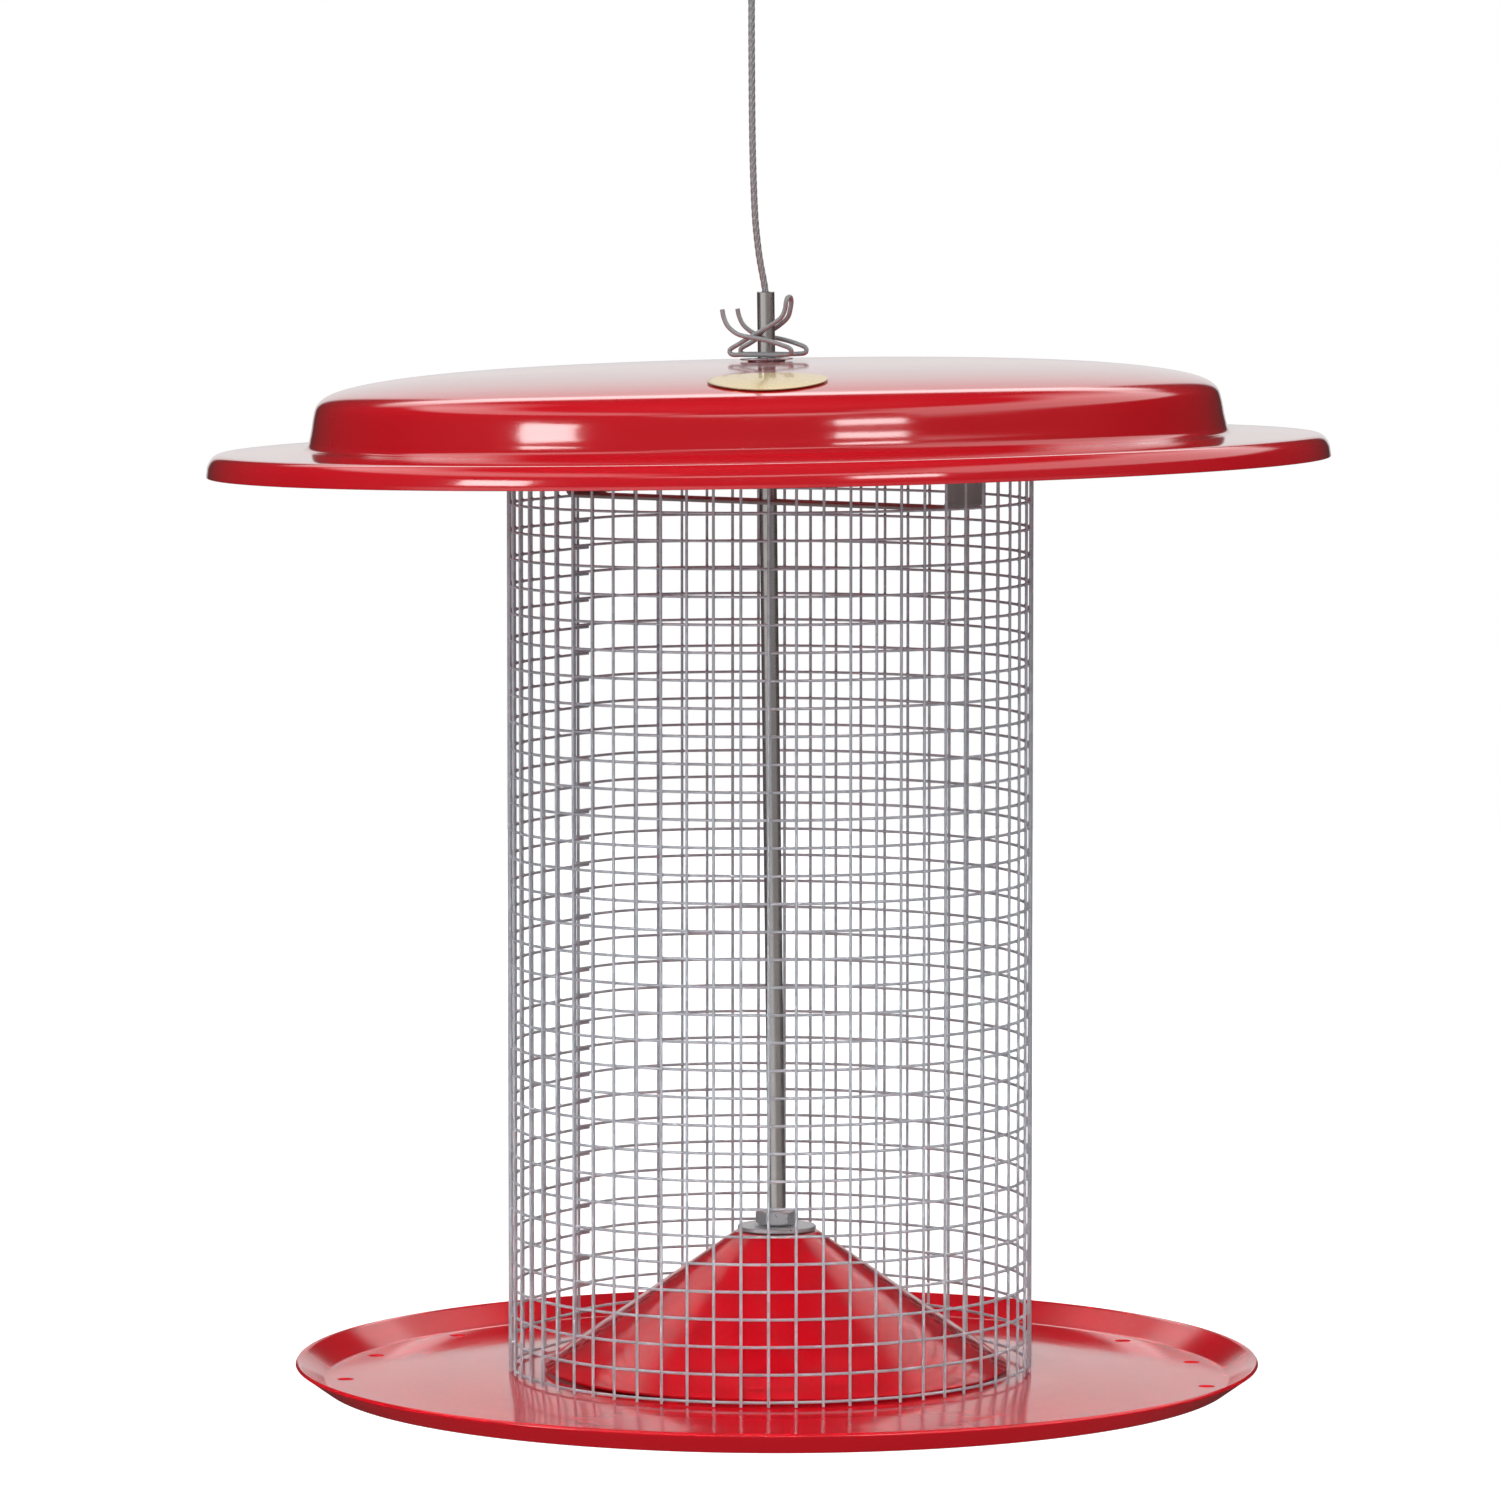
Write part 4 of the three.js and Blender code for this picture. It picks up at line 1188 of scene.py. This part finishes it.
class FEEDER_OT_rope(bpy.types.Operator):
    """Lays the wire rope, its crimped sleeve and its hanging loop"""

    bl_idname = "feeder.rope"
    bl_label = "Rope and loop"

    def execute(self, context):
        wires = context.scene.feeder_wires
        colours = context.scene.feeder_finishes
        strands = drawn_metal("rope_strands", colours.rope, 0.5, 0.35, 0.5, STRAND_MARKS)
        route = [at_height(x, height) for x, height in ROPE_ROUTE]
        path, run = evenly(through(route, 12), 150)
        rope = laid_rope("rope_free", path, wires.rope, wires.rope_lay)
        finish_piece(rope, strands, "frame", "wire_rope", "hanging_cable")

        offset = wires.rope / 2 + CLEARANCE
        middle = ROPE_ROUTE[-1][0] + offset
        low = ROPE_ROUTE[-1][1] + CLEARANCE
        sleeve = sleeve_piece("crimped_sleeve")
        settle(sleeve, at_height(middle, low))
        pressed = drawn_metal("sleeve_aluminium", colours.sleeve, 0.8, 0.3, 0.45, PRESSED_MARKS)
        finish_piece(sleeve, pressed, "frame", "aluminium_sleeve", "cable_sleeve")

        foot = low + wires.sleeve_length + CLEARANCE
        eye = wires.loop_width / 2
        eye_height = foot + wires.loop_height + wires.rope / 2 - eye
        half = [(offset, foot), (offset, foot + wires.rope)]
        half += [(offset + (eye - offset) * 0.42, (foot + eye_height) / 2)]
        half += arc((0.0, eye_height), eye, -15, 90, 8)
        points = [at_height(middle + x, height) for x, height in half]
        points += [at_height(middle - x, height) for x, height in reversed(half[:-1])]
        loop_path, loop_run = evenly(through(points, 10), 180)
        loop = laid_rope("rope_loop", loop_path, wires.rope, wires.rope_lay)
        finish_piece(loop, strands, "frame", "wire_rope", "cable_loop")

        return {"FINISHED"}


# Half of the clip's wire, from a prong to the middle of the paddle. Columns: share of the reach,
# share of the inner half width, share of the step out to the outer pass, share of the height.
CLIP_SHARES = [
    (-1, 1, 0.75, 0.79), (-0.96, 1, 0.78, 0.66), (-0.84, 1, 0.84, 0.5), (-0.56, 1, 0.95, 0.36),
    (-0.24, 1, 1, 0.31), (0.24, 1, 1, 0.25), (0.65, 1, 0.95, 0.17), (0.88, 1, 0.82, 0.1),
    (0.89, 1, 0.65, 0.025), (0.65, 1, 0.5, 0), (0, 1, 0.35, 0), (-0.54, 1, 0.15, 0),
    (-0.83, 1, 0.05, 0.012), (-0.87, 1, 0, 0.075), (-0.6, 1, 0, 0.19), (-0.26, 1, 0, 0.32),
    (0, 1, 0, 0.41), (0.28, 0.86, 0, 0.52), (0.52, 0.62, 0, 0.65), (0.6, 0.5, 0, 0.78),
    (0.635, 0.48, 0, 0.92), (0.645, 0.3, 0, 0.985), (0.65, 0, 0, 1),
]


class FEEDER_OT_clip(bpy.types.Operator):
    """Bends the spring clip from one wire, its two strands crossing at the stem"""

    bl_idname = "feeder.clip"
    bl_label = "Spring clip"

    def execute(self, context):
        wires, spun = context.scene.feeder_wires, context.scene.feeder_spun
        inner = wires.stem / 2 + spun.gap + wires.clip_wire / 2 + spun.gap / 4
        out = wires.clip_wire + wires.clip_room
        seat = 2 * spun.gap + wires.eyelet_wall + wires.clip_wire / 2
        rise = wires.clip_height - wires.clip_wire / 2 - seat
        strand = [
            Vector((a * wires.clip_reach, b * inner + c * out, seat + d * rise))
            for a, b, c, d in CLIP_SHARES
        ]
        back = [Vector((p.x, -p.y, p.z)) for p in reversed(strand[:-1])]
        line, _ = evenly(through([*strand, *back], 10), 260)
        clip = drawn_wire("clip_wire", line, wires.clip_wire, 4)
        smooth(clip, 60)
        apex = spun.lid_base + spun.dome_top
        settle(clip, turn=(0, 0, wires.clip_turn))
        settle(clip, at_height(stem_x(apex), apex), (0, -wires.stem_lean, 0))
        spring = context.scene.feeder_finishes.spring
        steel = drawn_metal("clip_spring_steel", spring, 0.35, 0.4, 0.55, SPRING_MARKS)
        finish_piece(clip, steel, "clip", "spring_wire", "spring_clip")
        return {"FINISHED"}


def studio_floor(scene):
    """A wide paper floor well below the feeder, which hangs."""
    size, behind, drop = 9.0, 0.6, 0.3
    deselect()
    bpy.ops.mesh.primitive_plane_add(size=size, location=(0, behind, TRAY_MIDDLE.z - drop))
    floor = fresh_piece("studio_floor")
    material, tree, shader = blank_material("floor_paper")
    rays = add_node(tree, "ShaderNodeLightPath")
    # The paper glows as it is seen, so that it has no horizon, but lights nothing by that
    glow = 0.6
    seen = maths(tree, "MAXIMUM", rays.outputs["Is Camera Ray"], rays.outputs["Is Glossy Ray"])
    either = maths(tree, "MAXIMUM", seen, rays.outputs["Is Transmission Ray"])
    paper = {"Base Color": (*scene.feeder_finishes.floor, 1), "Roughness": 0.9}
    links = {"Emission Strength": maths(tree, "MULTIPLY", either, glow)}
    wire_up(tree, shader, links, {**paper, "Emission Color": (1, 1, 1, 1)})
    floor.data.materials.append(material)
    floor.visible_glossy = False


def white_surround(scene):
    """The room all round: even and pale to dull surfaces, and to glossy ones made of parts."""
    world = bpy.data.worlds.new("white_surround")
    scene.world = world
    world.use_nodes = True
    tree = world.node_tree
    tree.nodes.clear()
    output = add_node(tree, "ShaderNodeOutputWorld")
    rays = add_node(tree, "ShaderNodeLightPath")
    direction = add_node(tree, "ShaderNodeTexCoord")
    parts = add_node(tree, "ShaderNodeSeparateXYZ", {"Vector": direction.outputs["Generated"]})
    side, depth, rise = parts.outputs["X"], parts.outputs["Y"], parts.outputs["Z"]
    aside = maths(tree, "ABSOLUTE", side)

    def times(first, second):
        return maths(tree, "MULTIPLY", first, second)

    def plus(first, second):
        return maths(tree, "ADD", first, second)

    def ramp(value, low, high, to_low, to_high):
        return spread(tree, value, low, high, to_low, to_high)

    # A white paper panel behind the feeder, up to 30 degrees high and 11 to each side
    off_panel = maths(tree, "MULTIPLY_ADD", maths(tree, "MAXIMUM", depth, 0.0), -0.2, aside)
    panel = times(
        times(ramp(off_panel, -0.02, 0.02, 0.7, 0.0), ramp(depth, 0.0, 0.1, 0.0, 1.0)),
        times(ramp(rise, 0.47, 0.52, 1.0, 0.0), ramp(rise, -0.1, 0.0, 0.0, 1.0)),
    )
    # Pale walls to the left and right, from 37 degrees up on the left and 23 on the right to 53,
    # a thin pale line before and behind, and a darker ceiling above
    deeper = plus(rise, ramp(side, 0.3, 0.6, 0.0, 0.22))
    at_sides = ramp(aside, 0.25, 0.5, 0.0, 1.0)
    high_walls = times(ramp(deeper, 0.58, 0.64, 0.0, 1.3), ramp(rise, 0.76, 0.84, 1.0, 0.0))
    line = times(ramp(rise, 0.46, 0.5, 0.0, 1.9), ramp(rise, 0.58, 0.62, 1.0, 0.0))
    walls = plus(times(high_walls, at_sides), times(line, ramp(at_sides, 0.0, 1.0, 1.0, 0.0)))
    # The floor before the feeder, lighter to the left, up to 3 degrees above the horizon
    lighter_left = ramp(side, -0.3, 0.2, 0.8, 0.22)
    ground = times(
        times(ramp(rise, 0.0, 0.06, 1.0, 0.0), lighter_left), ramp(depth, -0.4, -0.1, 1.0, 0.0)
    )
    room = plus(ramp(depth, -0.3, 0.3, 0.1, 0.03), ground)
    mirrored = plus(plus(panel, walls), room)
    # The even pale room that lights dull surfaces, brighter above and to the left
    even = plus(ramp(side, -1.0, 1.0, 0.77, 0.47), ramp(rise, -1.0, 1.0, -0.12, 0.12))
    lit = add_node(
        tree, "ShaderNodeMix", {"Factor": rays.outputs["Is Glossy Ray"], "A": even, "B": mirrored}
    )
    strength = maths(tree, "MAXIMUM", lit.outputs["Result"], rays.outputs["Is Camera Ray"])
    background = add_node(
        tree, "ShaderNodeBackground", {"Strength": strength}, {"Color": (1, 1, 1, 1)}
    )
    tree.links.new(background.outputs["Background"], output.inputs["Surface"])


def soft_boxes(scene):
    aim = at_height(0, 0.16)
    boxes = (
        # name, aim, place from the aim, width, height, power, spread, whether gloss mirrors it
        ("left_box", aim, Vector((-1.22, -0.83, 0.41)), 0.4, 0.24, 2.6, 180, True),
        ("right_strip", aim, Vector((0.62, -1.34, 0.57)), 0.46, 0.14, 1.7, 180, True),
        ("top_box", aim, Vector((0.0, 0.05, 1.35)), 0.9, 0.9, 8.0, 180, False),
        ("low_box", at_height(0, 0.0), Vector((-0.1, -1.05, 0.6)), 0.5, 0.12, 0.18, 14, False),
    )
    for name, target, place, width, height, power, opening, mirrored_too in boxes:
        data = bpy.data.lights.new(name, "AREA")
        data.shape = "RECTANGLE"
        data.size, data.size_y = width, height
        data.energy = power
        data.spread = math.radians(opening)
        lamp = bpy.data.objects.new(name, data)
        scene.collection.objects.link(lamp)
        lamp.location = target + place
        lamp.rotation_euler = (-place).to_track_quat("-Z", "Y").to_euler()
        lamp.visible_glossy = mirrored_too


def photo_camera(scene):
    camera = bpy.data.cameras.new("photo_camera")
    camera.sensor_width = SENSOR_WIDTH
    camera.lens = FOCAL_PIXELS / PHOTO_PIXELS * SENSOR_WIDTH
    camera.clip_end = 50.0
    eye = bpy.data.objects.new("photo_camera", camera)
    scene.collection.objects.link(eye)
    eye.location = CAMERA_PLACE
    eye.rotation_euler = (math.pi / 2 - CAMERA_PITCH, 0, 0)
    scene.camera = eye


class FEEDER_OT_studio(bpy.types.Operator):
    """Sets up the pale floor, the soft boxes, the white surround and the camera"""

    bl_idname = "feeder.studio"
    bl_label = "Studio"

    def execute(self, context):
        scene = context.scene
        studio_floor(scene)
        white_surround(scene)
        soft_boxes(scene)
        photo_camera(scene)
        scene.view_settings.view_transform = "Standard"
        return {"FINISHED"}


OPERATORS = (
    FEEDER_OT_studio,
    FEEDER_OT_tray,
    FEEDER_OT_cone,
    FEEDER_OT_fasteners,
    FEEDER_OT_stem,
    FEEDER_OT_mesh,
    FEEDER_OT_crossbar,
    FEEDER_OT_lid,
    FEEDER_OT_eyelet,
    FEEDER_OT_label,
    FEEDER_OT_clip,
    FEEDER_OT_rope,
)


class FEEDER_PT_panel(bpy.types.Panel):
    """Lists the feeder's pieces"""

    bl_idname = "FEEDER_PT_panel"
    bl_label = "Bird Feeder"
    bl_space_type = "VIEW_3D"
    bl_region_type = "UI"
    bl_category = "Feeder"

    def draw(self, context):
        for operator in OPERATORS:
            self.layout.operator(operator.bl_idname)


CLASSES = (FeederSpunSizes, FeederWireSizes, FeederFinishes, *OPERATORS, FEEDER_PT_panel)


def register():
    for each in CLASSES:
        bpy.utils.register_class(each)
    bpy.types.Scene.feeder_spun = bpy.props.PointerProperty(type=FeederSpunSizes)
    bpy.types.Scene.feeder_wires = bpy.props.PointerProperty(type=FeederWireSizes)
    bpy.types.Scene.feeder_finishes = bpy.props.PointerProperty(type=FeederFinishes)


def unregister():
    del bpy.types.Scene.feeder_finishes
    del bpy.types.Scene.feeder_wires
    del bpy.types.Scene.feeder_spun
    for each in reversed(CLASSES):
        bpy.utils.unregister_class(each)


def main():
    register()
    bpy.ops.feeder.studio()
    bpy.ops.feeder.tray()
    bpy.ops.feeder.cone()
    bpy.ops.feeder.fasteners()
    bpy.ops.feeder.stem()
    bpy.ops.feeder.mesh()
    bpy.ops.feeder.crossbar()
    bpy.ops.feeder.lid()
    bpy.ops.feeder.eyelet()
    bpy.ops.feeder.label()
    bpy.ops.feeder.clip()
    bpy.ops.feeder.rope()


if __name__ == "__main__":
    main()
